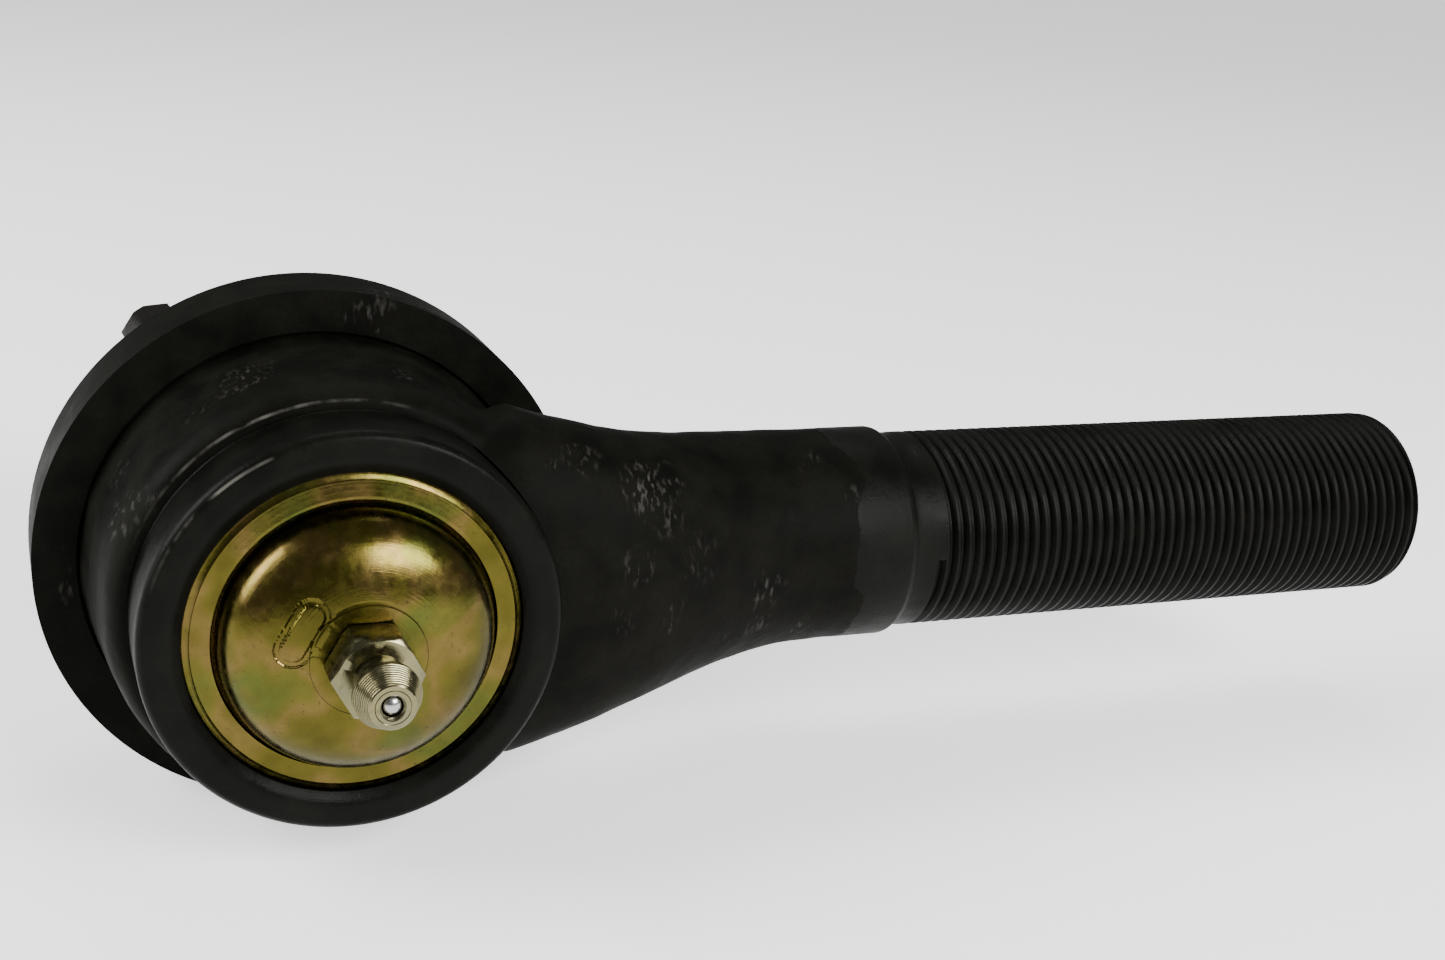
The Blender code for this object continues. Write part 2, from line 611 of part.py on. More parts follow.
def make_preload_spring(surface, parent):
    """A conical coil spring between the pressure plate and the inside of the dome."""
    bottom = PLATE_BOTTOM - SEAT_GAP - SPRING_WIRE_RADIUS
    top = DOME_TOP + COVER_THICKNESS + SEAT_GAP + SPRING_WIRE_RADIUS
    wide = PLATE_RADIUS - SPRING_WIRE_RADIUS
    return coil(
        "preload_spring", SPRING_WIRE_RADIUS, SPRING_TURNS, bottom, top, wide, SPRING_TOP_RADIUS, surface, parent
    )


def fitting_places():
    """Heights of the grease fitting's sections, from its hexagon's base out to its tip."""
    hexagon_end = FITTING_BASE - FITTING_HEX_LENGTH
    neck_end = hexagon_end - FITTING_NECK_LENGTH
    band_end = neck_end - FITTING_HEAD_BAND
    tip = band_end - FITTING_HEAD_TAPER
    return hexagon_end, neck_end, band_end, tip


def make_fitting(surface, parent):
    """Grease fitting: nozzle head, neck, hexagon and thread round one bore, crimped behind its spring."""
    hexagon_end, neck_end, band_end, tip = fitting_places()
    bevel = 0.12 * FITTING_HALF_FLATS
    thread_end = FITTING_BASE + FITTING_THREAD_LENGTH
    outline = [
        (FITTING_MOUTH_RADIUS, tip),
        (FITTING_TIP_RADIUS, tip),
        (FITTING_HEAD_RADIUS, band_end),
        (FITTING_HEAD_RADIUS, neck_end + 0.3 * FITTING_HEAD_BAND),
        (FITTING_NECK_RADIUS, neck_end + FITTING_HEAD_BAND),
        (FITTING_NECK_RADIUS, hexagon_end - bevel),
        (FITTING_HALF_FLATS - bevel, hexagon_end),
        (FITTING_HALF_FLATS, hexagon_end + bevel),
        (FITTING_HALF_FLATS, FITTING_BASE),
        (FITTING_THREAD_RADIUS, FITTING_BASE),
        (FITTING_THREAD_RADIUS, thread_end),
        (FITTING_CRIMP_RADIUS, thread_end),
        (FITTING_CRIMP_RADIUS, thread_end - FITTING_CRIMP_LENGTH),
        (FITTING_BORE_RADIUS, thread_end - FITTING_CRIMP_LENGTH),
        (FITTING_BORE_RADIUS, tip + FITTING_MOUTH_LENGTH + FITTING_BORE_RADIUS - FITTING_MOUTH_RADIUS),
        (FITTING_MOUTH_RADIUS, tip + FITTING_MOUTH_LENGTH),
    ]
    return turned("grease_fitting", outline, surface, parent, SMALL_FACETS, hexagon=(7, 8))


def check_ball_height():
    """The ball's centre, where it nearly touches the mouth's edge from inside."""
    tip = fitting_places()[3]
    edge = tip + FITTING_MOUTH_LENGTH
    return edge + sqrt((CHECK_BALL_RADIUS + BALL_GAP) ** 2 - FITTING_MOUTH_RADIUS**2)


def make_check_ball(surface, parent):
    centre = check_ball_height()
    outline = [(r, centre - h) for r, h in arc(CHECK_BALL_RADIUS, 0.0, pi, 8)]
    outline[0] = (0.0, outline[0][1])
    outline[-1] = (0.0, outline[-1][1])
    return turned("fitting_check_ball", outline, surface, parent, SMALL_FACETS)


def make_fitting_spring(surface, parent):
    """The light spring between the check ball and the crimp."""
    wire = CHECK_SPRING_WIRE
    start = check_ball_height() + CHECK_BALL_RADIUS + wire + BALL_GAP
    end = FITTING_BASE + FITTING_THREAD_LENGTH - FITTING_CRIMP_LENGTH - wire - BALL_GAP
    radius = FITTING_BORE_RADIUS - wire - 2 * BALL_GAP
    return coil("fitting_spring", wire, CHECK_SPRING_TURNS, start, end, radius, radius, surface, parent, 4, 10)


def boot_outlines():
    """The boot's outer section from lip to neck, the lip's height, and the bulge's height and radius."""
    lip = DRUM_END + 0.5 * SEAT_GAP
    lip_radius = DRUM_END_RADIUS + BOOT_LIP_PROUD
    bulge_radius = DRUM_END_RADIUS + BOOT_BULGE
    bulge = DRUM_END + BOOT_BULGE_HEIGHT
    outer = [(lip_radius - BOOT_LIP_PROUD, lip), (lip_radius, lip + 0.8 * BOOT_LIP_PROUD)]
    for share in (0.3, 0.6, 1.0):
        radius = lip_radius + (bulge_radius - lip_radius) * sin(share * pi / 2)
        outer.append((radius, lip + (bulge - lip) * (0.2 + 0.8 * share)))
    shoulder = BOOT_NECK_BOTTOM - bulge
    steps = 7
    for k in range(1, steps + 1):
        angle = k / steps * pi / 2
        reach = max(cos(angle), 0.0) ** BOOT_SHOULDER_FULLNESS
        radius = BOOT_NECK_RADIUS + (bulge_radius - BOOT_NECK_RADIUS) * reach
        outer.append((radius, bulge + shoulder * sin(angle) ** BOOT_SHOULDER_EASE))
    return outer, lip, bulge, bulge_radius


def make_boot(surface, parent):
    """The dust boot: its lip grips the drum round a steel ring, and its neck grips the bushing."""
    outer, lip, bulge, bulge_radius = boot_outlines()
    clamp = BOOT_NECK_BOTTOM + 0.5 * BOOT_NECK_LENGTH
    outer += [
        (BOOT_NECK_RADIUS, clamp - 1.2 * CLAMP_WIRE_RADIUS),
        (BOOT_NECK_RADIUS - CLAMP_SINK, clamp - 0.8 * CLAMP_WIRE_RADIUS),
        (BOOT_NECK_RADIUS - CLAMP_SINK, clamp + 0.8 * CLAMP_WIRE_RADIUS),
        (BOOT_NECK_RADIUS, clamp + 1.2 * CLAMP_WIRE_RADIUS),
        (BOOT_NECK_RADIUS, BOOT_TOP),
        (BOOT_NECK_BORE, BOOT_TOP),
        (BOOT_NECK_BORE, BOOT_SKIRT_TOP),
    ]
    seat = BOOT_SEAT_RADIUS + SEAT_GAP
    inner_bulge = bulge_radius - BOOT_WALL
    shoulder = BOOT_NECK_BOTTOM - BOOT_WALL - bulge
    inner = []
    steps = 5
    for k in range(steps - 1, -1, -1):
        angle = k / steps * pi / 2
        radius = BOOT_NECK_BORE + (inner_bulge - BOOT_NECK_BORE) * cos(angle) ** BOOT_SHOULDER_FULLNESS
        inner.append((radius, bulge + shoulder * sin(angle) ** BOOT_SHOULDER_EASE))
    ring_low = lip + BOOT_RING_PLACE - SEAT_GAP
    ring_high = ring_low + BOOT_RING_HEIGHT + 2 * SEAT_GAP
    ring_side = seat + BOOT_RING_WIDTH + SEAT_GAP
    inner += [
        (seat, ring_high + BOOT_RING_HEIGHT),
        (seat, ring_high),
        (ring_side, ring_high),
        (ring_side, ring_low),
        (seat, ring_low),
        (seat, lip),
    ]
    boot = turned("dust_boot", outer + inner, surface, parent)
    bend_with_stud(boot, BOOT_BEND_START, BOOT_SKIRT_TOP)
    return boot


def make_boot_ring(surface, parent):
    """The flat steel ring held in the boot's lip."""
    low = DRUM_END + 0.5 * SEAT_GAP + BOOT_RING_PLACE
    inner = BOOT_SEAT_RADIUS + SEAT_GAP
    outline = [
        (inner, low),
        (inner + BOOT_RING_WIDTH, low),
        (inner + BOOT_RING_WIDTH, low + BOOT_RING_HEIGHT),
        (inner, low + BOOT_RING_HEIGHT),
    ]
    return turned("boot_retaining_ring", outline, surface, parent)


def make_bushing(surface, parent):
    """The sleeve in the boot's neck that the stud turns in."""
    outline = [
        (BUSHING_BORE_RADIUS, BUSHING_BOTTOM),
        (BUSHING_RADIUS, BUSHING_BOTTOM),
        (BUSHING_RADIUS, BUSHING_BOTTOM + BUSHING_HEIGHT),
        (BUSHING_BORE_RADIUS, BUSHING_BOTTOM + BUSHING_HEIGHT),
    ]
    return turned("boot_bushing", outline, surface, parent)


def stand_on_origin(root):
    """Moves the whole part so that the bottom centre of its box is at the origin."""
    bpy.context.view_layer.update()
    graph = bpy.context.evaluated_depsgraph_get()
    low = Vector((1e9, 1e9, 1e9))
    high = -low
    for made in bpy.context.scene.objects:
        if made.type == "EMPTY" or made.hide_render:
            continue
        evaluated = made.evaluated_get(graph)
        mesh = evaluated.to_mesh()
        for vertex in mesh.vertices:
            place = evaluated.matrix_world @ vertex.co
            low = Vector(map(min, low, place))
            high = Vector(map(max, high, place))
        evaluated.to_mesh_clear()
    root.location = (-(low.x + high.x) / 2, -(low.y + high.y) / 2, -low.z)
    bpy.context.view_layer.update()


def empty(name, parent=None):
    made = bpy.data.objects.new(name, None)
    bpy.context.scene.collection.objects.link(made)
    made.empty_display_size = BALL_RADIUS
    made.parent = parent
    return made


def build():
    clear_scene()
    forged = material("forged_steel", (0.022, 0.022, 0.017), 0.55, 0.6)
    zinc = material("yellow_zinc", (0.42, 0.34, 0.10), 0.32, 0.9)
    bright_zinc = material("pale_zinc", (0.55, 0.52, 0.36), 0.28, 0.95)
    bright = material("bright_steel", (0.62, 0.62, 0.60), 0.22, 1.0)
    spring_steel = material("spring_steel", (0.16, 0.16, 0.17), 0.4, 0.9)
    bearing = material("bearing_plastic", (0.75, 0.73, 0.66), 0.5, 0.0)
    sintered = material("sintered_steel", (0.30, 0.29, 0.27), 0.5, 0.9)
    rubber = material("seal_rubber", (0.02, 0.02, 0.02), 0.6, 0.0)
    urethane = material("blue_urethane", (0.008, 0.060, 0.160), 0.35, 0.0)
    black_oxide = material("black_oxide", (0.030, 0.024, 0.018), 0.5, 0.7)

    root = empty("tie_rod_end")
    socket = empty("ball_centre", root)
    stud_axis = empty("stud_axis", socket)
    stud_axis.rotation_euler = (0.0, 0.0, STUD_LEAN)
    check_axis = empty("check_ball_axis", socket)

    make_housing(forged, socket)
    make_upper_bearing(bearing, socket)
    make_lower_bearing(sintered, socket)
    make_pressure_plate(bright, socket)
    make_preload_spring(spring_steel, socket)
    ring("cover_seal", COVER_RADIUS - SEAL_SECTION, SEAL_HEIGHT, SEAL_SECTION, rubber, socket, sides=6)
    make_cover(zinc, socket)
    make_fitting(bright_zinc, socket)
    make_check_ball(bright, check_axis)
    make_fitting_spring(spring_steel, socket)
    make_boot(urethane, socket)
    make_boot_ring(bright, socket)
    make_bushing(sintered, stud_axis)
    clamp_radius = BOOT_NECK_RADIUS - CLAMP_SINK + CLAMP_WIRE_RADIUS + SEAT_GAP
    clamp_height = BOOT_NECK_BOTTOM + 0.5 * BOOT_NECK_LENGTH
    ring("boot_clamp_ring", clamp_radius, clamp_height, CLAMP_WIRE_RADIUS, spring_steel, stud_axis, sides=6)
    make_ball_stud(bright, stud_axis)
    make_nut(black_oxide, stud_axis)
    make_cotter_pin(bright, stud_axis)
    stand_on_origin(root)
    return root


build()
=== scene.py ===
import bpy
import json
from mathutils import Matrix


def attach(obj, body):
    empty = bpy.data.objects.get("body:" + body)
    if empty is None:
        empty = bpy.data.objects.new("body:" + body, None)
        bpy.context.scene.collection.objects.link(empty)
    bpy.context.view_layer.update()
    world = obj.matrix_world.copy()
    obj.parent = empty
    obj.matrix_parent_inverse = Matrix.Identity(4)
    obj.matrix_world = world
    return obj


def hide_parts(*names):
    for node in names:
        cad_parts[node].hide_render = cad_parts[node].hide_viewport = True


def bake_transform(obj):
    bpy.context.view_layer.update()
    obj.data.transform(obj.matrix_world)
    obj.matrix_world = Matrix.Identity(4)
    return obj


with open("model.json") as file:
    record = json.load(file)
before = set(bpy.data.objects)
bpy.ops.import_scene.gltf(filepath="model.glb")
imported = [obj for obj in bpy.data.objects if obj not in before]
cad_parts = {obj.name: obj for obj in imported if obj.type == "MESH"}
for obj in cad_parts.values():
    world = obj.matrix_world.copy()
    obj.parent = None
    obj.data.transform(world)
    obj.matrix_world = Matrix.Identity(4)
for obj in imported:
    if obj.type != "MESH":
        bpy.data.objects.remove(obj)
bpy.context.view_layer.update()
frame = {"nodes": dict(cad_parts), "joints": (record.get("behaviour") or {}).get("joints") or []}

# %% [markdown]
# # A tie rod end
# A tie rod end joins a steering rod to a steering arm. A ball stud leans about in a forged socket,
# a pressed cover closes the socket, a rubbery boot keeps dirt out, and a threaded shank screws into
# the rod. The CAD nodes are exact but coarse. This lesson models the visible pieces again with
# finer shapes, and gives every piece a finish. We begin with the modules and with the three axes
# that everything is turned about.

# %% Modules, and the axes of the socket, the stud and the shank
import json
import math
from math import cos, pi, radians, sin

import bpy
from mathutils import Matrix, Vector

mm = 0.001
joints = {joint["name"]: joint for joint in frame["joints"]}
ball = Vector(joints["stud_swing_side"]["pos_m"])
stud_lean = radians(4)
shank_offset = 5
socket_axis = Matrix.Translation(ball)
stud_axis = Matrix.Translation(ball) @ Matrix.Rotation(stud_lean, 4, "Z")
shank_middle = ball + Vector((0, shank_offset * mm, 0))
shank_axis = Matrix.Translation(shank_middle) @ Matrix.Rotation(-pi / 2, 4, "Z")
print("ball centre in mm:", [round(1000 * v, 2) for v in ball])

# %% [markdown]
# ## Picking and settling
# An operator acts on everything that is selected, so each step first picks only the pieces that it
# means. A finished piece has its place in its mesh and its object at the origin, and settling a
# piece does that.

# %% Pick pieces, and settle them
def pick(*pieces):
    """Selects only these pieces, and makes the last one active."""
    bpy.ops.object.select_all(action="DESELECT")
    for piece in pieces:
        piece.select_set(True)
        bpy.context.view_layer.objects.active = piece


def settle():
    """Moves the place, turn and size of what is selected into its mesh."""
    bpy.ops.object.transform_apply(location=True, rotation=True, scale=True)


# %% [markdown]
# ## Turning on a lathe
# Most of this part is turned: lip, cover, shank, stud, fitting. In Blender a lathe is the Spin
# operator: draw half of the section as a line, then spin it round the axis. The line starts as one
# vertex, made by collapsing a tiny plane, and each step extrudes it to the next point. A section is
# a list of (radius, height) in millimetres. A mesh that Spin closes has doubled points at its seam
# and poles, so they are merged, and the normals are then turned outwards.

# %% Draw a section and spin it
small_round, large_round, rim_round = 96, 144, 180
print("faces round a turned piece:", small_round, large_round, rim_round)


def draw_line(points):
    """A chain of edges through the points, as a new object at the origin, left in edit mode."""
    pick()
    bpy.ops.mesh.primitive_plane_add(size=mm, location=points[0])
    settle()
    bpy.ops.object.mode_set(mode="EDIT")
    bpy.ops.mesh.merge(type="COLLAPSE")
    for here, after in zip(points, points[1:]):
        bpy.ops.mesh.extrude_region_move(TRANSFORM_OT_translate={"value": after - here})
    bpy.ops.mesh.select_all(action="SELECT")
    return bpy.context.object


def close_mesh():
    """Merges doubled points and turns the faces outwards, then leaves edit mode."""
    bpy.ops.mesh.select_all(action="SELECT")
    bpy.ops.mesh.remove_doubles(threshold=1e-6)
    bpy.ops.mesh.normals_make_consistent(inside=False)
    bpy.ops.object.mode_set(mode="OBJECT")


def turned(name, axis, section, segments=small_round):
    """A closed solid of revolution about the axis's own Y.

    A section that leaves the axis is joined back to its start.
    """
    if section[0][0] > 0 or section[-1][0] > 0:
        section = list(section) + [section[0]]
    piece = draw_line([axis @ Vector((r * mm, h * mm, 0)) for r, h in section])
    bpy.ops.mesh.spin(steps=segments, angle=2 * pi, center=axis.translation, axis=axis.col[1].xyz)
    close_mesh()
    piece.name = piece.data.name = name
    return piece


def arc(centre, radius, start, end, steps=8):
    """Points along an arc of a section, between two angles in degrees. Angle 0 points outwards."""
    angles = [radians(start + (end - start) * k / steps) for k in range(steps + 1)]
    return [(centre[0] + radius * cos(a), centre[1] + radius * sin(a)) for a in angles]


# %% [markdown]
# ## Cutting, softening and handing over
# Milled and drilled features are cut with the Boolean modifier in its exact mode. Real edges are
# never perfectly sharp, and a narrow Bevel catches the light as they do. Each finished piece is
# shaded smooth except at its edges, gets its finish, and rides on a body of the CAD model, so that
# it moves when a joint moves.

# %% Cut, bevel, and hand a piece over
def modify(piece, kind, **settings):
    """Adds a modifier and applies it at once."""
    pick(piece)
    modifier = piece.modifiers.new(kind, kind)
    for setting, value in settings.items():
        setattr(modifier, setting, value)
    bpy.ops.object.modifier_apply(modifier=modifier.name)


def carve(piece, tool, operation="DIFFERENCE"):
    """Cuts a piece with a tool, or combines them another way, and throws the tool away."""
    modify(piece, "BOOLEAN", operation=operation, solver="EXACT", object=tool)
    bpy.data.objects.remove(tool, do_unlink=True)


def soften(piece, width, segments=2):
    """Bevels the edges that turn by more than 30 degrees, this many millimetres wide."""
    modify(
        piece, "BEVEL", width=width * mm, segments=segments, limit_method="ANGLE",
        angle_limit=radians(30), use_clamp_overlap=True, harden_normals=False,
    )


def hand_over(piece, name, body, finish, replaces, smooth=32):
    """Names, shades and paints a piece, and puts it on its CAD body.

    Edges that turn by more than this many degrees stay crisp.
    """
    pick(piece)
    settle()
    bpy.ops.object.shade_smooth_by_angle(angle=radians(smooth))
    piece.name = piece.data.name = name
    piece.data.materials.clear()
    piece.data.materials.append(finish.material)
    if body:
        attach(piece, body)
    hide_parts(*replaces)
    print(f"{name}: {len(piece.data.polygons)} faces on {body}")
    return piece


# %% [markdown]
# ## Finishes
# Every finish is a Principled shader fed by patterns on the object's own coordinates, so a pattern
# stays on its piece when it moves. A small class keeps the nodes readable: noise of a given size in
# millimetres, a remap from one range to another, a mix of two colours, and a bump. Lathe lines
# follow (radius, height) about an axis, so they run round a turned face the way a tool leaves them.

# %% A small kit for finishes
class Finish:
    def __init__(self, name, metallic=0.0, roughness=0.5, gloss=0.5):
        self.material = bpy.data.materials.new(name)
        self.material.use_nodes = True
        self.tree = self.material.node_tree
        self.shader = self.tree.nodes["Principled BSDF"]
        self.shader.inputs["Metallic"].default_value = metallic
        self.shader.inputs["Roughness"].default_value = roughness
        self.shader.inputs["Specular IOR Level"].default_value = gloss
        self.place = self.node("TexCoord").outputs["Object"]
        self.height = None

    def node(self, kind, inputs=(), **settings):
        made = self.tree.nodes.new("ShaderNode" + kind)
        for setting, value in settings.items():
            setattr(made, setting, value)
        for key, value in dict(inputs).items():
            self.feed(made.inputs[key], value)
        return made

    def feed(self, socket, value):
        if isinstance(value, bpy.types.NodeSocket):
            self.tree.links.new(value, socket)
        else:
            socket.default_value = value

    def noise(self, size, detail=3.0, where=None, stretch=(1, 1, 1), shift=0.0):
        """Noise from 0 to 1 with features about this many millimetres across."""
        scale = 1 / (size * mm)
        mapping = {
            "Vector": where or self.place,
            "Scale": [scale / s for s in stretch],
            "Location": (shift, shift, shift),
        }
        mapped = self.node("Mapping", mapping).outputs["Vector"]
        return self.node("TexNoise", {"Vector": mapped, "Scale": 1.0, "Detail": detail}).outputs["Fac"]

    def remap(self, value, low, high, to_low=0.0, to_high=1.0):
        inputs = {0: value, 1: low, 2: high, 3: to_low, 4: to_high}
        return self.node("MapRange", inputs, clamp=True).outputs[0]

    def math(self, operation, first, second=0.0):
        return self.node("Math", {0: first, 1: second}, operation=operation).outputs[0]

    def mix(self, share, first, second):
        """From the first colour to the second as share goes from 0 to 1."""
        inputs = {0: share}
        for key, colour in ((6, first), (7, second)):
            inputs[key] = colour if isinstance(colour, bpy.types.NodeSocket) else (*colour, 1.0)
        return self.node("Mix", inputs, data_type="RGBA").outputs[2]

    def lathe(self, axis):
        """(radius, height, 0) about an axis, in metres."""
        turn = axis.to_3x3().inverted()
        mapping = {
            "Vector": self.place,
            "Location": -(turn @ axis.translation),
            "Rotation": turn.to_euler(),
        }
        local = self.node("Mapping", mapping).outputs["Vector"]
        flat = self.node("VectorMath", {0: local, 1: (1, 0, 1)}, operation="MULTIPLY").outputs[0]
        radius = self.node("VectorMath", {0: flat}, operation="LENGTH").outputs["Value"]
        height = self.node("SeparateXYZ", {0: local}).outputs["Y"]
        return self.node("CombineXYZ", {0: radius, 1: height}).outputs[0]

    def spot(self, centre, radius):
        """1 at a point on the object, fading to 0 at this many millimetres from it."""
        away = self.node("VectorMath", {0: self.place, 1: centre}, operation="DISTANCE")
        return self.remap(away.outputs["Value"], 0.0, radius * mm, 1.0, 0.0)

    def ring(self, axis, radius, near, spread, width=0.20, size=5.0):
        """A thin broken line at this radius about an axis, seen only near one point.

        All sizes are in millimetres: spread is how far the line reaches from that point, and size is
        that of its breaks.
        """
        reach = self.node("SeparateXYZ", {0: self.lathe(axis)}).outputs["X"]
        off = self.math("ABSOLUTE", self.math("SUBTRACT", reach, radius * mm))
        line = self.remap(off, 0.3 * width * mm, width * mm, 1.0, 0.0)
        broken = self.remap(self.noise(size, 4, shift=6), 0.44, 0.60)
        where = self.math("MULTIPLY", self.spot(near, spread), broken)
        return self.math("MULTIPLY", line, where)

    def bump(self, height, distance, strength=1.0):
        """Adds a bump of this many millimetres on top of the ones before it."""
        inputs = {"Height": height, "Distance": distance * mm, "Strength": strength}
        if self.height is not None:
            inputs["Normal"] = self.height
        self.height = self.node("Bump", inputs).outputs["Normal"]
        self.feed(self.shader.inputs["Normal"], self.height)

    def colour(self, value):
        self.feed(self.shader.inputs["Base Color"], value)

    def rough(self, value):
        self.feed(self.shader.inputs["Roughness"], value)


# %% [markdown]
# The housing is a hot forging with a dark phosphate coat. Left as forged it is matt and slightly
# lumpy, with pale rub marks where parts knocked together in the bin. Where it was machined, under
# the same coat, it is smoother and shows fine lathe lines. The larger rub marks have their places
# in a table, and noise breaks each one up into streaks.

# %% Rub marks, and pale edge lines that are painted highlights
# Pale steel for the rub marks, and also for the painted edge highlights.
rubbed_steel_and_highlight = (0.20, 0.195, 0.17)
# How far the two pale edge lines, which are painted highlights, reach from their lit spots, in
# millimetres.
step_highlight_spread, lip_highlight_spread = 18, 11
rub_marks = (  # x, y and z from the ball's centre and reach, in millimetres, then strength
    (32.3, -10.2, 11.8, 4.2, 0.37),
    (35.2, -8.4, 12.4, 2.6, 0.30),
    (30.8, -13.4, 4.3, 2.6, 0.30),
    (34.5, -11.2, 8.6, 3.0, 0.19),
    (48.4, -8.7, -1.3, 3.0, 0.20),
    (47.2, -8.8, -2.6, 2.0, 0.19),
    (59.6, -5.2, 8.3, 2.0, 0.17),
    (25.0, -9.6, 15.5, 3.0, 0.17),
    (21.4, -10.7, 15.1, 1.0, 0.33),
    (38.5, -11.3, 3.8, 3.5, 0.11),
    (-9.0, 1.0, 23.0, 4.0, 0.17),
    (8.0, -2.0, 24.0, 3.0, 0.13),
    (-21.0, 2.0, 12.0, 3.0, 0.11),
)


def off_ball(x, y, z):
    """A point this many millimetres from the ball's centre."""
    return ball + Vector((x, y, z)) * mm


def forging_wear_and_highlight(made):
    """Chalky scuffs where parts knocked together, and a pale burr line along the step of the drum that
    is also a painted highlight, drawn only near the lit top.
    """
    streaks = made.remap(made.noise(1.0, 4, stretch=(0.55, 1.0, 1.4), shift=1), 0.53, 0.72)
    patches = made.remap(made.noise(11, 2, shift=3.4), 0.62, 0.72)
    share = made.math("MULTIPLY", made.math("MULTIPLY", streaks, patches), 0.22)
    for x, y, z, radius, strength in rub_marks:
        spot = made.math("MULTIPLY", made.spot(off_ball(x, y, z), radius), strength)
        share = made.math("MAXIMUM", share, made.math("MULTIPLY", streaks, spot))
    # Painted highlight: the pale line on the drum's step stands for a burr and for the light it
    # catches, so it is drawn only near the lit top.
    step_burr_highlight = made.ring(socket_axis, 22.35, off_ball(-8, -8.6, 20), step_highlight_spread)
    return made.math("MAXIMUM", share, made.math("MULTIPLY", step_burr_highlight, 0.60))


def lip_edge_highlight(made):
    """A painted highlight: a pale broken line along the worn outer edge of the lip, drawn only near its
    lit upper left.
    """
    # Painted highlight: a pale line along the lip's edge, only near the upper left where the light
    # falls.
    painted_edge_highlight = made.ring(socket_axis, 20.9, off_ball(-14, -16.6, 15), lip_highlight_spread)
    return made.math("MULTIPLY", painted_edge_highlight, 0.50)


print("rub marks:", len(rub_marks))

# %% Phosphated steel, forged and machined
def phosphated(name, axis, roughness, line_depth, dark, pale, gloss, wear_and_highlight=None):
    """A dark coat that goes from one colour to another in patches, over lathe lines of this depth."""
    made = Finish(name, roughness=roughness, gloss=gloss)
    mottle = made.noise(4.5, detail=5)
    grain = made.noise(0.4, detail=4)
    patches, specks = made.remap(mottle, 0.36, 0.68), made.remap(grain, 0.28, 0.72, 0.5, 1.0)
    tint = made.math("MULTIPLY", patches, specks)
    base = made.mix(tint, dark, pale)
    # Rub marks, and pale lines that are painted highlights, mixed in as pale steel.
    if wear_and_highlight:
        base = made.mix(wear_and_highlight(made), base, rubbed_steel_and_highlight)
    made.colour(base)
    made.rough(made.remap(mottle, 0.3, 0.7, roughness - 0.07, roughness + 0.10))
    if line_depth:
        made.bump(made.noise(0.17, 2, where=made.lathe(axis)), line_depth)
    made.bump(grain, 0.05, 0.6)
    made.bump(made.noise(1.7, 3), 0.12, 0.5)
    return made


phosphate_dark = (0.0026, 0.0026, 0.0019)
forged = phosphated(
    "forged_phosphate", socket_axis, roughness=0.55, line_depth=0,
    dark=phosphate_dark, pale=(0.0068, 0.0068, 0.0047), gloss=0.03, wear_and_highlight=forging_wear_and_highlight,
)
machined = phosphated(
    "machined_phosphate", socket_axis, roughness=0.36, line_depth=0.030,
    dark=phosphate_dark, pale=(0.0050, 0.0050, 0.0036), gloss=0.05, wear_and_highlight=lip_edge_highlight,
)
shank_coat = phosphated(
    "shank_phosphate", shank_axis, roughness=0.44, line_depth=0.02,
    dark=(0.0024, 0.0024, 0.0018), pale=(0.0060, 0.0060, 0.0044), gloss=0.06,
)
print("finishes:", forged.material.name, machined.material.name, shank_coat.material.name)

# %% [markdown]
# The cover is pressed steel, zinc plated and yellow chromated. The chromate film is so thin that it
# shows interference colours: olive gold with patches of peach and green. It drifts slowly over the
# surface, so one large soft noise picks the colour. Small dark specks and tool rings break it up.

# %% Yellow zinc and pale zinc
def zinc(name, axis, stops, roughness, line_depth, specks):
    """Zinc under a chromate film, with its colours in stops that a slow noise picks from."""
    made = Finish(name, metallic=1.0, roughness=roughness)
    drift = made.noise(8.5, 2, shift=1.7)
    ramp = made.node("ValToRGB", {"Fac": drift})
    elements = ramp.color_ramp.elements
    while len(elements) < len(stops):
        elements.new(0.5)
    for element, (position, colour) in zip(elements, stops):
        element.position = position
        element.color = (*colour, 1.0)
    spots = made.math("MULTIPLY", made.remap(made.noise(0.5, 2, shift=4), 0.66, 0.72), specks)
    cloud = made.remap(made.noise(2.2, 4), 0.35, 0.75, 0.0, 0.35)
    base = made.mix(cloud, ramp.outputs["Color"], [0.55 * c for c in stops[0][1]])
    made.colour(made.mix(spots, base, (0.05, 0.04, 0.015)))
    made.rough(made.remap(made.noise(1.2, 3), 0.3, 0.7, roughness - 0.05, roughness + 0.08))
    made.bump(made.noise(0.22, 2, where=made.lathe(axis)), line_depth)
    made.bump(made.noise(0.8, 3), 0.03, 0.5)
    return made


gold_stops = [
    (0.30, (0.061, 0.052, 0.009)),
    (0.42, (0.086, 0.072, 0.013)),
    (0.50, (0.123, 0.085, 0.025)),
    (0.56, (0.092, 0.080, 0.016)),
    (0.66, (0.064, 0.074, 0.015)),
    (0.78, (0.102, 0.080, 0.017)),
]
pale_stops = [
    (0.3, (0.15, 0.145, 0.080)),
    (0.5, (0.19, 0.17, 0.088)),
    (0.7, (0.14, 0.145, 0.088)),
]
yellow_zinc = zinc(
    "yellow_zinc_chromate", socket_axis, gold_stops, roughness=0.23, line_depth=0.010, specks=0.8
)
pale_zinc = zinc(
    "pale_zinc_chromate", socket_axis, pale_stops, roughness=0.20, line_depth=0.006, specks=0.3
)
print("finishes:", yellow_zinc.material.name, pale_zinc.material.name)

# %% [markdown]
# The stud, the springs, the bushing and the clamp ring are bare oiled steel with faint stains, and
# fine turning lines run round them. The nut is blackened, a dark coat much like the phosphate.

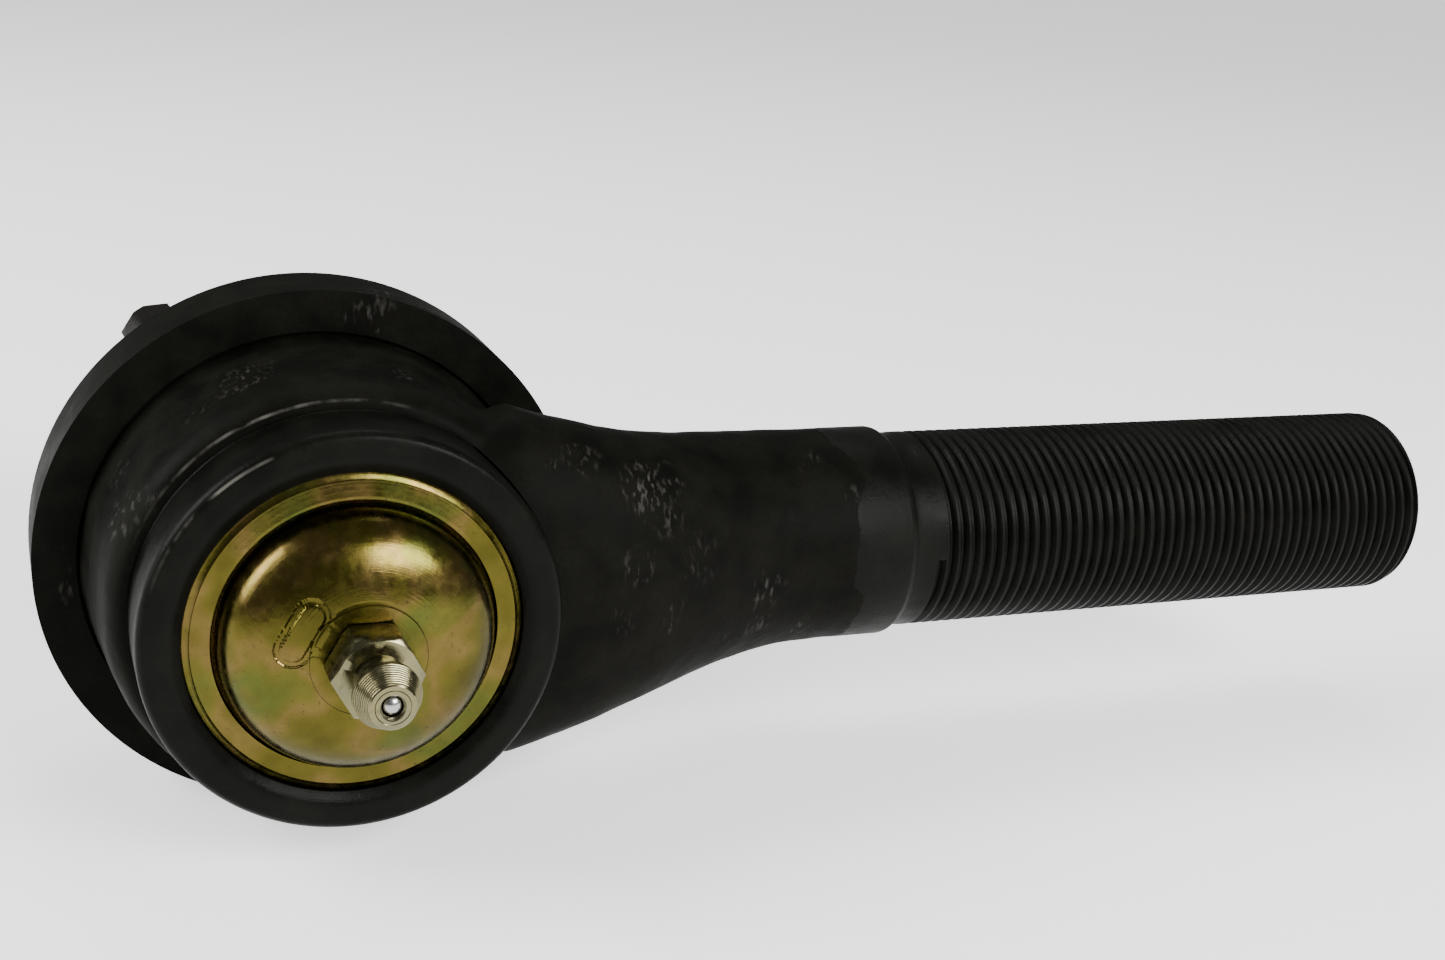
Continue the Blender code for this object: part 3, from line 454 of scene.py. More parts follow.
# %% Bare steel and black oxide
def steel(name, axis, tint, roughness, line_depth=0.01):
    made = Finish(name, metallic=1.0, roughness=roughness)
    stain = made.remap(made.noise(4, 4), 0.4, 0.75)
    made.colour(made.mix(stain, tint, [0.72 * c for c in tint]))
    made.rough(made.remap(made.noise(1.5, 3), 0.3, 0.7, roughness - 0.06, roughness + 0.10))
    made.bump(made.noise(0.12, 2, where=made.lathe(axis)), line_depth)
    return made


bright_steel = steel("ground_steel", stud_axis, tint=(0.40, 0.40, 0.385), roughness=0.22)
spring_steel = steel("spring_steel_oiled", socket_axis, tint=(0.15, 0.15, 0.155), roughness=0.36)
sintered = steel("sintered_steel_oiled", stud_axis, tint=(0.27, 0.26, 0.24), roughness=0.46)
black_oxide = phosphated(
    "black_oxide_nut", stud_axis, roughness=0.42, line_depth=0.02,
    dark=(0.0028, 0.0025, 0.0017), pale=(0.0070, 0.0060, 0.0040), gloss=0.05,
)
print("finishes:", bright_steel.material.name, sintered.material.name, black_oxide.material.name)

# %% [markdown]
# The boot is moulded polyurethane, a dark blue rubber. It takes a soft sheen from the mould, picks
# up pale dust, and shows faint flow marks that run round it.

# %% Blue polyurethane, seal rubber and bearing plastic
def moulded(name, colour, roughness, gloss=0.5, dust=0.0):
    """A moulded rubber or plastic in clouds of one colour, with dust on it."""
    made = Finish(name, roughness=roughness, gloss=gloss)
    cloud = made.remap(made.noise(6, 4), 0.35, 0.7)
    base = made.mix(cloud, colour, [1.45 * c for c in colour])
    speck = made.math("MULTIPLY", made.remap(made.noise(0.7, 3, shift=2), 0.60, 0.78), dust)
    made.colour(made.mix(speck, base, (0.06, 0.07, 0.08)))
    made.rough(made.remap(made.noise(2.5, 3), 0.3, 0.7, roughness - 0.05, roughness + 0.08))
    made.bump(made.noise(1.1, 2, where=made.lathe(socket_axis)), 0.02, 0.6)
    made.bump(made.noise(0.25, 3), 0.012, 0.6)
    return made


blue_urethane = moulded(
    "blue_polyurethane", (0.0006, 0.0052, 0.025), roughness=0.54, gloss=0.025, dust=0.25
)
seal_rubber = moulded("seal_rubber_black", (0.008, 0.008, 0.008), roughness=0.55, gloss=0.3)
bearing_plastic = moulded("bearing_plastic_ivory", (0.62, 0.60, 0.52), roughness=0.42)
for finish in (blue_urethane, seal_rubber, bearing_plastic):
    print("finish:", finish.material.name)

# %% [markdown]
# ## The forged body
# The body is one forging: a round drum with a neck that sweeps out of it and thins to the round
# shank. It could be two turned and lofted solids with a hard seam between them, but a forging has a
# soft fillet there. So both solids are joined, remeshed into one skin of small even faces, and
# smoothed, which rounds the seam as a forging die does. The machined places are cut afterwards, and
# stay crisp.

# %% The neck's sections along the shank
neck_root_x, neck_end_x, shank_radius = 18.4, 60.0, 12.8
root_flare, flare_power, root_taper = 7.2, 2.05, 0.38
root_depth, depth_gain, root_drop = 10.4, 2.4, 8.9


def ease(share):
    """A smooth start and a smooth stop between 0 and 1."""
    share = min(max(share, 0.0), 1.0)
    return share * share * (3 - 2 * share)


def neck_section(x):
    """Half height, half depth, drop towards the cover and squareness of the neck at this place."""
    share = min(max((x - neck_root_x) / (neck_end_x - neck_root_x), 0.0), 1.0)
    flare = root_flare * (1 - share) ** flare_power
    half_height = shank_radius + flare - root_taper * max(neck_root_x - x, 0.0)
    half_depth = root_depth + depth_gain * ease(share)
    drop = root_drop * (1 - ease((share - 0.12) / 0.80))
    return half_height, half_depth, drop, 2.0 + 0.3 * (1 - ease(share))


print("neck at its root:", [round(v, 2) for v in neck_section(neck_root_x)])

# %% Loft the neck: a circle, extruded from section to section
loft_start, loft_end, loft_steps = 8.0, 62.5, 22
neck_x = [loft_start]
neck_x += [neck_root_x + (loft_end - neck_root_x) * k / loft_steps for k in range(loft_steps + 1)]
pick()
bpy.ops.mesh.primitive_circle_add(
    vertices=72, radius=mm, fill_type="NGON",
    location=ball + Vector((loft_start * mm, 0, 0)), rotation=(0, pi / 2, 0),
)
settle()
neck = bpy.context.object
bpy.ops.object.mode_set(mode="EDIT")
bpy.ops.mesh.select_all(action="SELECT")
for here, after in zip(neck_x, neck_x[1:]):
    bpy.ops.mesh.extrude_region_move(TRANSFORM_OT_translate={"value": ((after - here) * mm, 0, 0)})
close_mesh()


def squared(value, squareness):
    """A cosine or sine pushed outwards. At a squareness of 2 it stays as it is."""
    return math.copysign(abs(value) ** (2 / squareness), value)


for vertex in neck.data.vertices:
    half_height, half_depth, drop, squareness = neck_section((vertex.co.x - ball.x) / mm)
    off_axis = vertex.co - ball
    angle = math.atan2(off_axis.z, off_axis.y)
    across, along = squared(cos(angle), squareness), squared(sin(angle), squareness)
    vertex.co.y = ball.y + (shank_offset - drop + half_depth * across) * mm
    vertex.co.z = ball.z + half_height * along * mm
print("neck:", len(neck.data.vertices), "points")

# %% Join the drum to it and let one skin flow over both
drum_section = [
    (0, -8.7), (22.35, -8.7), (23.0, -7.9), (23.6, -6.9), (23.85, -5.8),
    (24.15, -2), (24.6, 3), (25.15, 9), (25.15, 10.5), (23.3, 11.5), (23.3, 16.0), (0, 16.0),
]
forging = neck
carve(forging, turned("drum", socket_axis, drum_section, large_round), "UNION")
forging.data.remesh_voxel_size = 0.5 * mm
bpy.ops.object.voxel_remesh()
modify(forging, "SMOOTH", factor=0.5, iterations=22)
lumps = bpy.data.textures.new("forging_lumps", "CLOUDS")
lumps.noise_scale = 7 * mm
lumps.noise_depth = 2
lump_height = 0.34 * mm
modify(forging, "DISPLACE", texture=lumps, strength=lump_height, mid_level=0.5, texture_coords="LOCAL")
print("forging skin:", len(forging.data.polygons), "faces")

# %% [markdown]
# The lathe then clears a recess round the lip, bores the socket and turns the boot's seat. One
# cutter per tool, each a turned solid that reaches well past the skin.

# %% Machine the forging
below, above, bore_radius = -20, 17.5, 17.35
recess = [(0, below), (21.72, below), (21.72, -8.65), (0, -8.65)]
bore = [
    (0, below), (bore_radius, below), (bore_radius, 0),
    *arc((0, 0), bore_radius, 0, 34.8, 8)[1:],
    (17.05, 16.0), (bore_radius, above), (0, above),
]
seat = [(23.3, above), (23.3, 8.8), (25.0, 8.8), (25.45, 8.35), (30, 8.35), (30, above)]
for cutter_name, section in (("recess_tool", recess), ("boring_tool", bore), ("seat_tool", seat)):
    carve(forging, turned(cutter_name, socket_axis, section, large_round))
hand_over(forging, "forged_body", "housing", forged, replaces=["housing"], smooth=40)

# %% [markdown]
# ## The turned lip
# After the cover is pressed in, the lip of the socket is rolled over its rim. The lip is a clean
# cylinder with a rounded outer edge and a bevelled inner edge that bears on the cover. It is spun
# as its own piece, and its root sits inside the forging, at the step where the lathe stopped.

# %% The socket's lip
lip_section = [
    (19.0, -7.6), (21.5, -7.6), (21.5, -8.9), (21.42, -9.05), (21.5, -9.2), (21.5, -15.75),
    *arc((20.35, -15.75), 1.15, 0, -78, 10)[1:],
    (20.0, -16.93), (19.4, -17.02), (18.9, -17.08), (18.5, -17.06), (18.2, -16.96),
    (17.95, -16.82), (17.5, -16.52), (17.28, -16.38), (17.22, -16.30), (17.28, -16.18),
    (17.6, -16.03), (18.5, -16.03), (18.5, -12.9), (17.5, -12.9), (17.5, -7.6),
]
lip = turned("socket_lip", socket_axis, lip_section, rim_round)
hand_over(lip, "socket_lip", "housing", machined, replaces=["housing"])

# %% [markdown]
# ## Threads
# A thread is a groove that winds round a blank. The Screw modifier winds a small V section up the
# axis, its two ends are filled, and the result is the tool that the exact Boolean takes from the
# turned blank. The crests keep a narrow flat where the blank's own surface is left, as on a rolled
# thread.

# %% Wind a thread groove
def thread_tool(axis, radius, pitch, start, turns, steps=64):
    """A helical V groove tool about the axis's own Y. Sizes in millimetres."""
    depth, half, root = 0.46 * pitch, 0.40 * pitch, 0.08 * pitch
    outer = radius + 0.5
    section = [
        (radius - depth, -root), (radius, -half), (outer, -half),
        (outer, half), (radius, half), (radius - depth, root), (radius - depth, -root),
    ]
    tool = draw_line([Vector((r * mm, (start + h) * mm, 0)) for r, h in section])
    bpy.ops.mesh.remove_doubles(threshold=1e-6)
    bpy.ops.object.mode_set(mode="OBJECT")
    modify(
        tool, "SCREW", axis="Y", screw_offset=pitch * mm, iterations=turns,
        steps=steps, render_steps=steps, use_merge_vertices=False,
    )
    bpy.ops.object.mode_set(mode="EDIT")
    bpy.ops.mesh.select_all(action="DESELECT")
    bpy.ops.mesh.select_non_manifold()
    bpy.ops.mesh.fill()
    close_mesh()
    tool.matrix_world = axis
    return tool


# %% [markdown]
# ## The shank
# The shank is turned from the end of the forging: a plain band, a step down to a narrow collar, and
# a fine thread of 24 mm with a pitch of 1.5 mm, rounded at its end.

# %% Turn the shank and cut its thread
fine_pitch, shank_thread_radius = 1.5, 12.0
shank_section = [
    (0, 59.5), (12.74, 59.5), (shank_radius, 61.2), (shank_radius, 66.7), (12.72, 67.0),
    (12.25, 67.7), (12.0, 67.95), (11.92, 68.3), (11.92, 69.9), (11.98, 70.2),
    *arc((10.28, 141.2), 1.7, 0, 90, 8), (0, 142.9),
]
shank = turned("threaded_shank", shank_axis, shank_section)
carve(shank, thread_tool(shank_axis, shank_thread_radius, fine_pitch, start=71.2, turns=48))
hand_over(
    shank, "threaded_shank", "housing", shank_coat, replaces=["housing"], smooth=25
)

# %% [markdown]
# ## The cover
# The cover is a pressed cap: a conical flange held under the lip, a groove, a full dome, and a flat
# pad for the grease fitting. The dome's section is a superellipse, steeper at its shoulder than a
# circle. The flange has two bands, left by the press tool.

# %% Spin the cover
dome_fullness = 0.8


def dome_points(radius, start, rise, stop, steps):
    """The dome's section from its foot in to the radius where it stops. Sizes in millimetres."""
    last = math.acos((stop / radius) ** (1 / dome_fullness))
    angles = [last * (k / steps) ** 1.4 for k in range(steps + 1)]
    return [(radius * cos(a) ** dome_fullness, start - rise * sin(a) ** dome_fullness) for a in angles]


flange = [
    (18.2, -14.25), (18.2, -15.62), (18.1, -15.72), (17.0, -15.98), (16.45, -16.15),
    (16.38, -16.24), (15.6, -16.38), (14.85, -16.52), (14.6, -16.57), (14.45, -16.54),
    (14.35, -16.42), (14.27, -16.1), (14.18, -15.90), (14.10, -15.84), (14.02, -15.88),
]
pad_height, hole_radius = -22.92, 3.45
front = flange + dome_points(13.95, start=-16.0, rise=7.20, stop=5.85, steps=44)
front += [(5.80, -22.84), (5.72, pad_height), (4.6, pad_height), (hole_radius, pad_height)]
back = [(hole_radius, -21.4)] + dome_points(12.4, start=-15.9, rise=5.5, stop=6.3, steps=20)[::-1]
back += [(12.3, -14.0), (14.6, -14.0), (16.0, -14.25)]
cover = turned("pressed_cover", socket_axis, front + back, rim_round)
print("cover:", len(cover.data.polygons), "faces")

# %% [markdown]
# A shallow race-track mark is stamped beside the fitting, left blank here. The faces in that patch
# are subdivided, and the points along the track are then pressed inwards along their normals, first
# in a wide band and then in a narrow one, which rounds the groove.

# %% Stamp the blank mark
mark_x, mark_z, mark_lean = -6.45, 3.15, radians(30)
mark_half_length, mark_half_width = 1.9, 1.45
press = 0.09


def stamp_distance(point):
    """How far a point is outside the mark's outline, in mm, in the plane that faces the cover."""
    off = (point - ball) / mm
    x, z = off.x - mark_x, off.z - mark_z
    along = x * sin(mark_lean) + z * cos(mark_lean)
    across = x * cos(mark_lean) - z * sin(mark_lean)
    return math.hypot(max(abs(along) - mark_half_length, 0.0), across) - mark_half_width


def on_dome(place, normal):
    """Whether a place is on the outside of the dome."""
    return place.y < ball.y - 17 * mm and normal.y < 0


def choose(piece, kind, test):
    """Selects the vertices or the polygons of a piece that pass a test, in edit mode."""
    bpy.ops.object.mode_set(mode="OBJECT")
    for element in getattr(piece.data, kind):
        element.select = test(element)
    bpy.ops.object.mode_set(mode="EDIT")


def near_mark(face):
    return on_dome(face.center, face.normal) and stamp_distance(face.center) < 0.7


def on_track(point, band):
    return on_dome(point.co, point.normal) and abs(stamp_distance(point.co)) < band


pick(cover)
bpy.ops.object.mode_set(mode="EDIT")
bpy.ops.mesh.select_all(action="DESELECT")
bpy.ops.mesh.select_mode(type="FACE")
choose(cover, "polygons", near_mark)
bpy.ops.mesh.subdivide(number_cuts=3)
bpy.ops.mesh.select_mode(type="VERT")
for band in (0.36, 0.22):
    bpy.ops.mesh.select_all(action="DESELECT")
    choose(cover, "vertices", lambda point: on_track(point, band))
    bpy.ops.transform.shrink_fatten(value=-press * mm)
bpy.ops.mesh.select_all(action="DESELECT")
bpy.ops.object.mode_set(mode="OBJECT")
hand_over(
    cover, "pressed_cover", "housing", yellow_zinc, replaces=["cover_plate"], smooth=38
)

# %% [markdown]
# ## The grease fitting
# A grease fitting has a hexagon for the spanner, a neck, and a tapered head that the grease gun's
# coupler grips. The hexagon starts as a six-sided cylinder. A turned blank with chamfers is
# intersected with it, which leaves the curved edges that a chamfer makes on flats. The head is
# turned with fine tool lines.

# %% Hexagon, neck and head
def hexagon(axis, half_flats, low, high, corner_angle):
    """A six-sided prism about the axis's own Y, with a corner at this angle from Z towards X."""
    pick()
    to_corner = half_flats * mm / cos(pi / 6)
    bpy.ops.mesh.primitive_cylinder_add(vertices=6, radius=to_corner, depth=(high - low) * mm)
    prism = bpy.context.object
    stand = Matrix.Rotation(radians(corner_angle), 4, "Y") @ Matrix.Rotation(-pi / 2, 4, "X")
    prism.matrix_world = axis @ Matrix.Translation((0, (low + high) / 2 * mm, 0)) @ stand
    settle()
    return prism


tip, base = -34.1, -23.2
blank_section = [
    (0, base), (4.25, base), (4.6, base - 0.35), (4.6, -27.2), (4.0, -27.6), (0, -27.6),
]
blank = turned("fitting_blank", socket_axis, blank_section)
prism = hexagon(socket_axis, half_flats=3.97, low=-30, high=-20, corner_angle=30)
carve(blank, prism, "INTERSECT")
soften(blank, 0.08)
head = [
    (1.05, tip + 0.35), (1.25, tip + 0.06), (1.4, tip), (1.66, tip),
    (1.70, tip + 0.05), (1.76, tip), (2.15, tip), (2.3, tip + 0.12),
]
line_count = 9
for k in range(line_count):
    share = (k + 0.5) / line_count
    radius, height = 2.3 + 1.0 * share, tip + 0.15 + 2.4 * share
    head += [(radius, height), (radius + 0.005, height + 0.10), (radius + 0.07, height + 0.14)]
head += [
    (3.3, -31.45), (3.3, -30.85), (3.2, -30.6), (2.6, -30.35), (2.45, -30.0), (2.45, -27.9),
    (2.6, -27.5), (2.6, -26.5), (3.1, -26.5), (3.1, base + 5.2), (0.9, base + 5.2),
    (0.9, base + 4.6), (1.5, base + 4.6), (1.5, tip + 0.9),
]
nozzle = turned("fitting_nozzle", socket_axis, head)
pick(blank, nozzle)
bpy.ops.object.join()
hand_over(
    nozzle, "grease_fitting_body", "housing", pale_zinc, replaces=["grease_fitting"]
)

# %% The check bead behind the fitting's mouth
bead_radius, mouth_radius = 1.19, 1.05
check_height = tip + 0.45 + math.sqrt((bead_radius + 0.10) ** 2 - mouth_radius**2)
bead = [
    (0, check_height - bead_radius),
    *arc((0, check_height), bead_radius, -88, 88, 16),
    (0, check_height + bead_radius),
]
check_bead = turned("check_bead", socket_axis, bead, segments=40)
hand_over(
    check_bead, "check_bead", "check_ball", bright_steel,
    replaces=["fitting_check_ball"],
)

# %% [markdown]
# ## The dust boot
# The boot is a thick-walled bell. Its lip sits on the drum, its neck grips a bushing on the stud,
# and it has taken a lean towards the stud. It is spun upright, then each row of points is turned
# and shifted a little more than the row below, which bends it. The boot crosses two joints, and a
# piece can bend across only one, so it is cut in two at a ring.

# %% Spin the boot upright
lip_h, skirt_h, bulge_h, neck_h, boot_top = 8.95, 10.8, 18.4, 29.32, 34.32
skirt_r, bulge_r, neck_r, neck_bore, wall = 26.0, 27.4, 13.6, 11.7, 2.3
outer = [(23.7, lip_h), (25.2, lip_h)] + arc((25.75, 9.5), 0.55, -90, 80, 8)[1:]
outer += [(25.88, 10.2), (25.9, 10.45), (skirt_r, skirt_h)]
for k in range(1, 21):
    share = k / 20
    height = skirt_h + (bulge_h - skirt_h) * share
    outer.append((skirt_r + (bulge_r - skirt_r) * sin(share * pi / 2), height))
for k in range(1, 37):
    angle = k / 36 * pi / 2
    radius = neck_r + (bulge_r - neck_r) * max(cos(angle), 0.0) ** 0.85
    outer.append((radius, bulge_h + (neck_h - bulge_h) * sin(angle) ** 1.15))
outer += [
    (neck_r, 30.6), (13.35, 30.95), (13.1, 31.25), (13.1, 32.4), (13.35, 32.7),
    (neck_r, 33.0), (neck_r, 34.0), (13.4, boot_top),
]
inner = [(neck_bore, boot_top), (neck_bore, 27.95)]
for k in range(14, -1, -1):
    angle = k / 15 * pi / 2
    radius = neck_bore + (bulge_r - wall - neck_bore) * cos(angle) ** 0.85
    inner.append((radius, bulge_h + (27.0 - bulge_h) * sin(angle) ** 1.15))
inner += [(23.6, 14.0), (23.6, 12.7), (24.9, 12.65), (24.9, 10.75), (23.6, 10.7)]
boot = turned("boot", socket_axis, outer + inner, large_round)
print("boot upright:", len(boot.data.polygons), "faces")

# %% Bend it row by row
bend_low, bend_high = 14.2, 27.94
belly = Vector((-1.35, 0, 0.35))
rows = {}
for vertex in boot.data.vertices:
    rows.setdefault(round((vertex.co.y - ball.y) / mm, 3), []).append(vertex.index)
for height, members in rows.items():
    share = min(max((height - bend_low) / (bend_high - bend_low), 0.0), 1.0)
    if share == 0.0:
        continue
    lean = Matrix.Rotation(stud_lean * ease(share), 4, "Z")
    turn = Matrix.Translation(ball) @ lean @ Matrix.Translation(-ball)
    swell = sin(pi * share) ** 0.7 if share < 1 else 0.0
    for index in members:
        point = boot.data.vertices[index]
        point.co = turn @ point.co + swell * belly * mm
waves = bpy.data.textures.new("boot_waves", "CLOUDS")
waves.noise_scale = 13 * mm
wave_height = 0.5 * mm
modify(boot, "DISPLACE", texture=waves, strength=wave_height, mid_level=0.5, texture_coords="LOCAL")
print("boot rows:", len(rows))

# %% Cut it in two at a ring
cut_height = 20.5
halves = {}
for half in ("skirt", "shoulder"):
    piece = boot.copy()
    piece.data = boot.data.copy()
    bpy.context.scene.collection.objects.link(piece)
    pick(piece)
    bpy.ops.object.mode_set(mode="EDIT")
    bpy.ops.mesh.select_all(action="SELECT")
    bpy.ops.mesh.bisect(
        plane_co=ball + Vector((0, cut_height * mm, 0)), plane_no=(0, 1, 0), use_fill=True,
        clear_outer=half == "skirt", clear_inner=half == "shoulder",
    )
    bpy.ops.object.mode_set(mode="OBJECT")
    halves[half] = hand_over(
        piece, "boot_" + half, None, blue_urethane, replaces=["dust_boot"], smooth=50
    )
bpy.data.objects.remove(boot, do_unlink=True)
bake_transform(halves["skirt"])
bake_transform(halves["shoulder"])

# %% [markdown]
# The neck holds a sintered bushing that the stud turns in, and a round wire ring clamps the neck on
# it.

# %% Bushing and clamp ring
bush_section = [
    (9.7, 29.5), (9.95, 29.25), (11.15, 29.25), (11.4, 29.5),
    (11.4, 34.55), (11.15, 34.8), (9.95, 34.8), (9.7, 34.55),
]
bushing = turned("neck_bushing", stud_axis, bush_section)
hand_over(
    bushing, "neck_bushing", "boot_collar", sintered, replaces=["boot_bushing"]
)
clamp_wire_radius = 0.7
clamp = turned("neck_clamp_wire", stud_axis, arc((14.1, 31.82), clamp_wire_radius, 0, 345, 23))
hand_over(
    clamp, "neck_clamp_wire", "boot_collar", spring_steel, replaces=["boot_clamp_ring"]
)

# %% [markdown]
# ## The ball stud
# Ball, waisted neck, plain body, a 1 in 8 taper, and a 16 mm thread with a hole through it for the
# pin. The taper wedges in the steering arm, and the nut draws it tight.

# %% Turn the stud, cut its thread and drill it
ball_radius, stud_thread_radius = 15.0, 8.0
taper_end, stud_end = 61.6, 86.0
stud_section = [
    (0, -11.5), (9.45, -11.5), *arc((0, 0), ball_radius, -49.6, 60.4, 40),
    (7.4, 14.2), (7.4, 18.0), (7.6, 19.6), (8.1, 21.4), (9.2, 25.4), (9.6, 27.2),
    (9.6, 35.4), (9.8, 35.6), (10.0, 35.75), (8.385, taper_end - 0.1), (8.2, taper_end),
    (7.3, taper_end + 0.2), (7.3, taper_end + 2.2), (7.98, taper_end + 3.0),
    (7.98, stud_end - 1.0), (7.0, stud_end), (0, stud_end),
]
stud = turned("ball_and_stud", stud_axis, stud_section)
carve(stud, thread_tool(stud_axis, stud_thread_radius, fine_pitch, taper_end + 3.2, turns=16, steps=48))
print("stud:", len(stud.data.polygons), "faces")

# %% [markdown]
# ## Nut and split pin
# The slotted nut is a hexagon with chamfered ends and six slots. One slot tool is modelled, and
# copied at three angles, because each tool cuts the two slots that face each other.

# %% Hexagon, slots and bore
nut_top, nut_bottom, nut_angle = 83.6, 66.6, 28.0
pin_angle = radians(nut_angle + 30)
pin_height = nut_top - 2.97
nut_blank = [
    (0, nut_bottom), (11.6, nut_bottom), (11.85, nut_bottom + 0.1), (13.4, nut_bottom + 1.15),
    (13.4, nut_top - 1.15), (11.85, nut_top - 0.1), (11.6, nut_top), (0, nut_top),
]
nut = turned("slotted_nut", stud_axis, nut_blank)
prism = hexagon(stud_axis, 12.0, nut_bottom - 5, nut_top + 5, corner_angle=nut_angle)
carve(nut, prism, "INTERSECT")
nut_bore = [
    (0, nut_bottom - 1), (9.3, nut_bottom - 1), (8.25, nut_bottom + 0.9),
    (8.25, nut_top - 0.9), (9.3, nut_top + 1), (0, nut_top + 1),
]
carve(nut, turned("nut_bore", stud_axis, nut_bore))


def cross_frame(angle, height):
    """A frame on the stud's axis whose own Z points across it, at an angle from Z towards X."""
    return stud_axis @ Matrix.Translation((0, height * mm, 0)) @ Matrix.Rotation(angle, 4, "Y")


slot_width, slot_tool_height, tool_length = 5.0, 10.8, 40
slot_tool_size = (slot_width * mm, slot_tool_height * mm, tool_length * mm, 1)
for k in range(3):
    pick()
    bpy.ops.mesh.primitive_cube_add(size=1)
    slot_tool = bpy.context.object
    across_nut = cross_frame(pin_angle + k * pi / 3, nut_top)
    slot_tool.matrix_world = across_nut @ Matrix.Diagonal(slot_tool_size)
    settle()
    soften(slot_tool, 0.8, segments=4)
    carve(nut, slot_tool)
soften(nut, 0.14)
hand_over(nut, "slotted_nut", "stud", black_oxide, replaces=["castle_nut"])

# %% Drill the stud for the pin
drill_radius = 2.1
pick()
bpy.ops.mesh.primitive_cylinder_add(vertices=40, radius=drill_radius * mm, depth=tool_length * mm)
drill = bpy.context.object
drill.matrix_world = cross_frame(pin_angle, pin_height)
settle()
carve(stud, drill)
hand_over(stud, "ball_and_stud", "stud", bright_steel, replaces=["ball_stud"])

# %% [markdown]
# The split pin is one half-round wire folded round an eye, so its two legs make one round pin. Its
# path is a curve, and its section is a half circle swept along it.

# %% Sweep the split pin
wire, leg_gap, eye, neck_at, leg_end = 0.85, 0.1, 2.3, 12.85, -14.4
reach = eye + wire
open_angle = math.asin((wire + leg_gap) / reach)
eye_centre = neck_at + math.sqrt(reach**2 - (wire + leg_gap) ** 2)
path = [(-(wire + leg_gap), leg_end)]
for k in range(33):
    angle = pi + open_angle + (2 * pi - 2 * open_angle) * k / 32
    path.append((reach * sin(angle), eye_centre + reach * cos(angle)))
path.append((wire + leg_gap, leg_end))


def poly_curve(name, points, closed=False):
    """A curve of straight steps through the points."""
    data = bpy.data.curves.new(name, "CURVE")
    data.dimensions = "3D"
    spline = data.splines.new("POLY")
    spline.points.add(len(points) - 1)
    for point, place in zip(spline.points, points):
        point.co = (*place, 1.0)
    spline.use_cyclic_u = closed
    made = bpy.data.objects.new(name, data)
    bpy.context.scene.collection.objects.link(made)
    return made


half_circle = arc((0, -0.94 * wire), 1.85 * wire, 0, 180, 14)
section_points = [(y * mm, 0.82 * x * mm, 0) for x, y in half_circle]
half_round = poly_curve("half_round_section", section_points, closed=True)
pin = poly_curve("split_pin", [(side * mm, along * mm, 0) for side, along in path])
pin.data.bevel_mode = "OBJECT"
pin.data.bevel_object = half_round
pin.data.use_fill_caps = True
pin.data.twist_mode = "Z_UP"
pick(pin)
bpy.ops.object.convert(target="MESH")
bpy.data.objects.remove(half_round, do_unlink=True)
pin = bpy.context.object
print("pin size in mm:", [round(1000 * v, 2) for v in pin.dimensions])

# %% Lay the pin in its hole
# The curve's length was drawn along Y and its width along X. They turn to Z, across the stud, and to Y.
lay = Matrix(((0, 0, 1, 0), (1, 0, 0, 0), (0, 1, 0, 0), (0, 0, 0, 1)))
pin.matrix_world = cross_frame(pin_angle, pin_height) @ lay
hand_over(pin, "split_pin", "split_pin", pale_zinc, replaces=["cotter_pin"])

# %% [markdown]
# ## The nodes that stay
# Bearings, springs, seal, pressure washer and boot ring are inside. Their CAD shapes are right as
# they are, so they only take their finishes.

# %% Finish the inner CAD nodes
inner_finishes = {
    "upper_bearing": bearing_plastic, "lower_bearing": sintered, "pressure_plate": bright_steel,
    "preload_spring": spring_steel, "cover_seal": seal_rubber, "fitting_spring": spring_steel,
    "boot_retaining_ring": spring_steel,
}
for node, finish in inner_finishes.items():
    for material_slot in frame["nodes"][node].material_slots:
        material_slot.material = finish.material
print("inner nodes finished:", len(inner_finishes))

# %% [markdown]
# ## Stage
# A flat pale floor that gives off some light of its own, so that it stays pale round a dark part.
# The camera looks down a little from the cover's side, as for a catalogue. Three soft boxes light
# the part: one in front to the right, a large one at the left, and a weak one overhead that stands
# a little behind.

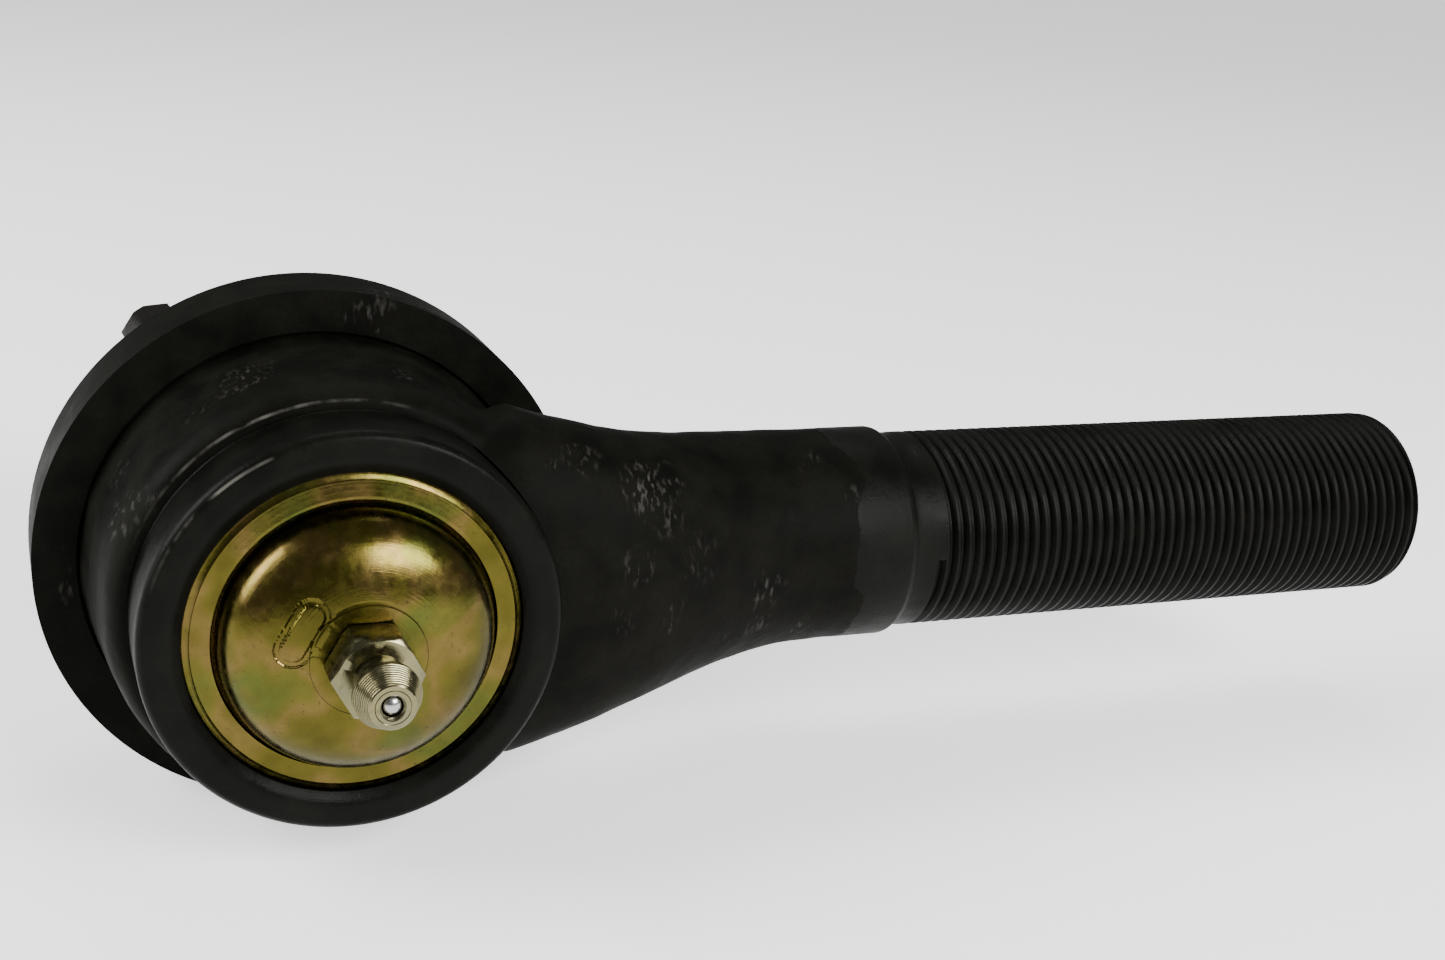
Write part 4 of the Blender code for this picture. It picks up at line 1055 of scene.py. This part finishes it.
# %% The floor
pick()
bpy.ops.mesh.primitive_plane_add(size=6, location=(0, 0, 0))
floor = bpy.context.object
floor.name = "studio_floor"
floor_finish = Finish("studio_floor_white", roughness=0.7)
floor_cloud = floor_finish.remap(floor_finish.noise(300, 2), 0.3, 0.7)
floor_finish.colour(floor_finish.mix(floor_cloud, (0.88, 0.88, 0.88), (0.90, 0.90, 0.90)))
floor_finish.shader.inputs["Emission Color"].default_value = (1, 1, 1, 1)
floor_finish.shader.inputs["Emission Strength"].default_value = 0.9
floor.data.materials.append(floor_finish.material)
print("floor:", floor.name)

# %% The camera
right = Vector((0.930, -0.360, 0.070)).normalized()
back = Vector((-0.364, -0.882, 0.299))
back = (back - right * back.dot(right)).normalized()
up = back.cross(right)
camera_place = ball + Vector((-33.8, -191.3, 73.9)) * mm
camera = bpy.data.objects.new("camera", bpy.data.cameras.new("camera"))
bpy.context.scene.collection.objects.link(camera)
facing = Matrix((right, up, back)).transposed().to_4x4()
camera.matrix_world = Matrix.Translation(camera_place) @ facing
camera.data.lens = 46.75
camera.data.sensor_width = 36
camera.data.clip_start = 0.005
bpy.context.scene.camera = camera
print("camera at:", [round(v, 3) for v in camera_place])

# %% The lights
aim = Vector((0, 0, 0.03))


def soft_box(name, place, size, power):
    """A rectangular lamp, so many metres wide and high, that faces the part."""
    light = bpy.data.objects.new(name, bpy.data.lights.new(name, "AREA"))
    light.data.shape = "RECTANGLE"
    light.data.size, light.data.size_y = size
    light.data.energy = power
    light.location = place
    light.rotation_mode = "QUATERNION"
    light.rotation_quaternion = (Vector(place) - aim).to_track_quat("Z", "Y")
    bpy.context.scene.collection.objects.link(light)


soft_box("front_box", (0.27, -0.52, 0.38), size=(0.40, 0.26), power=7.0)
soft_box("left_box", (-0.73, 0.15, 0.45), size=(0.50, 0.50), power=11.0)
soft_box("top_box", (0.10, 0.35, 0.90), size=(0.5, 0.3), power=2.5)
world = bpy.data.worlds.new("studio_world")
bpy.context.scene.world = world
world.use_nodes = True
background = world.node_tree.nodes["Background"]
background.inputs["Color"].default_value = (1, 1, 1, 1)
background.inputs["Strength"].default_value = 0.22
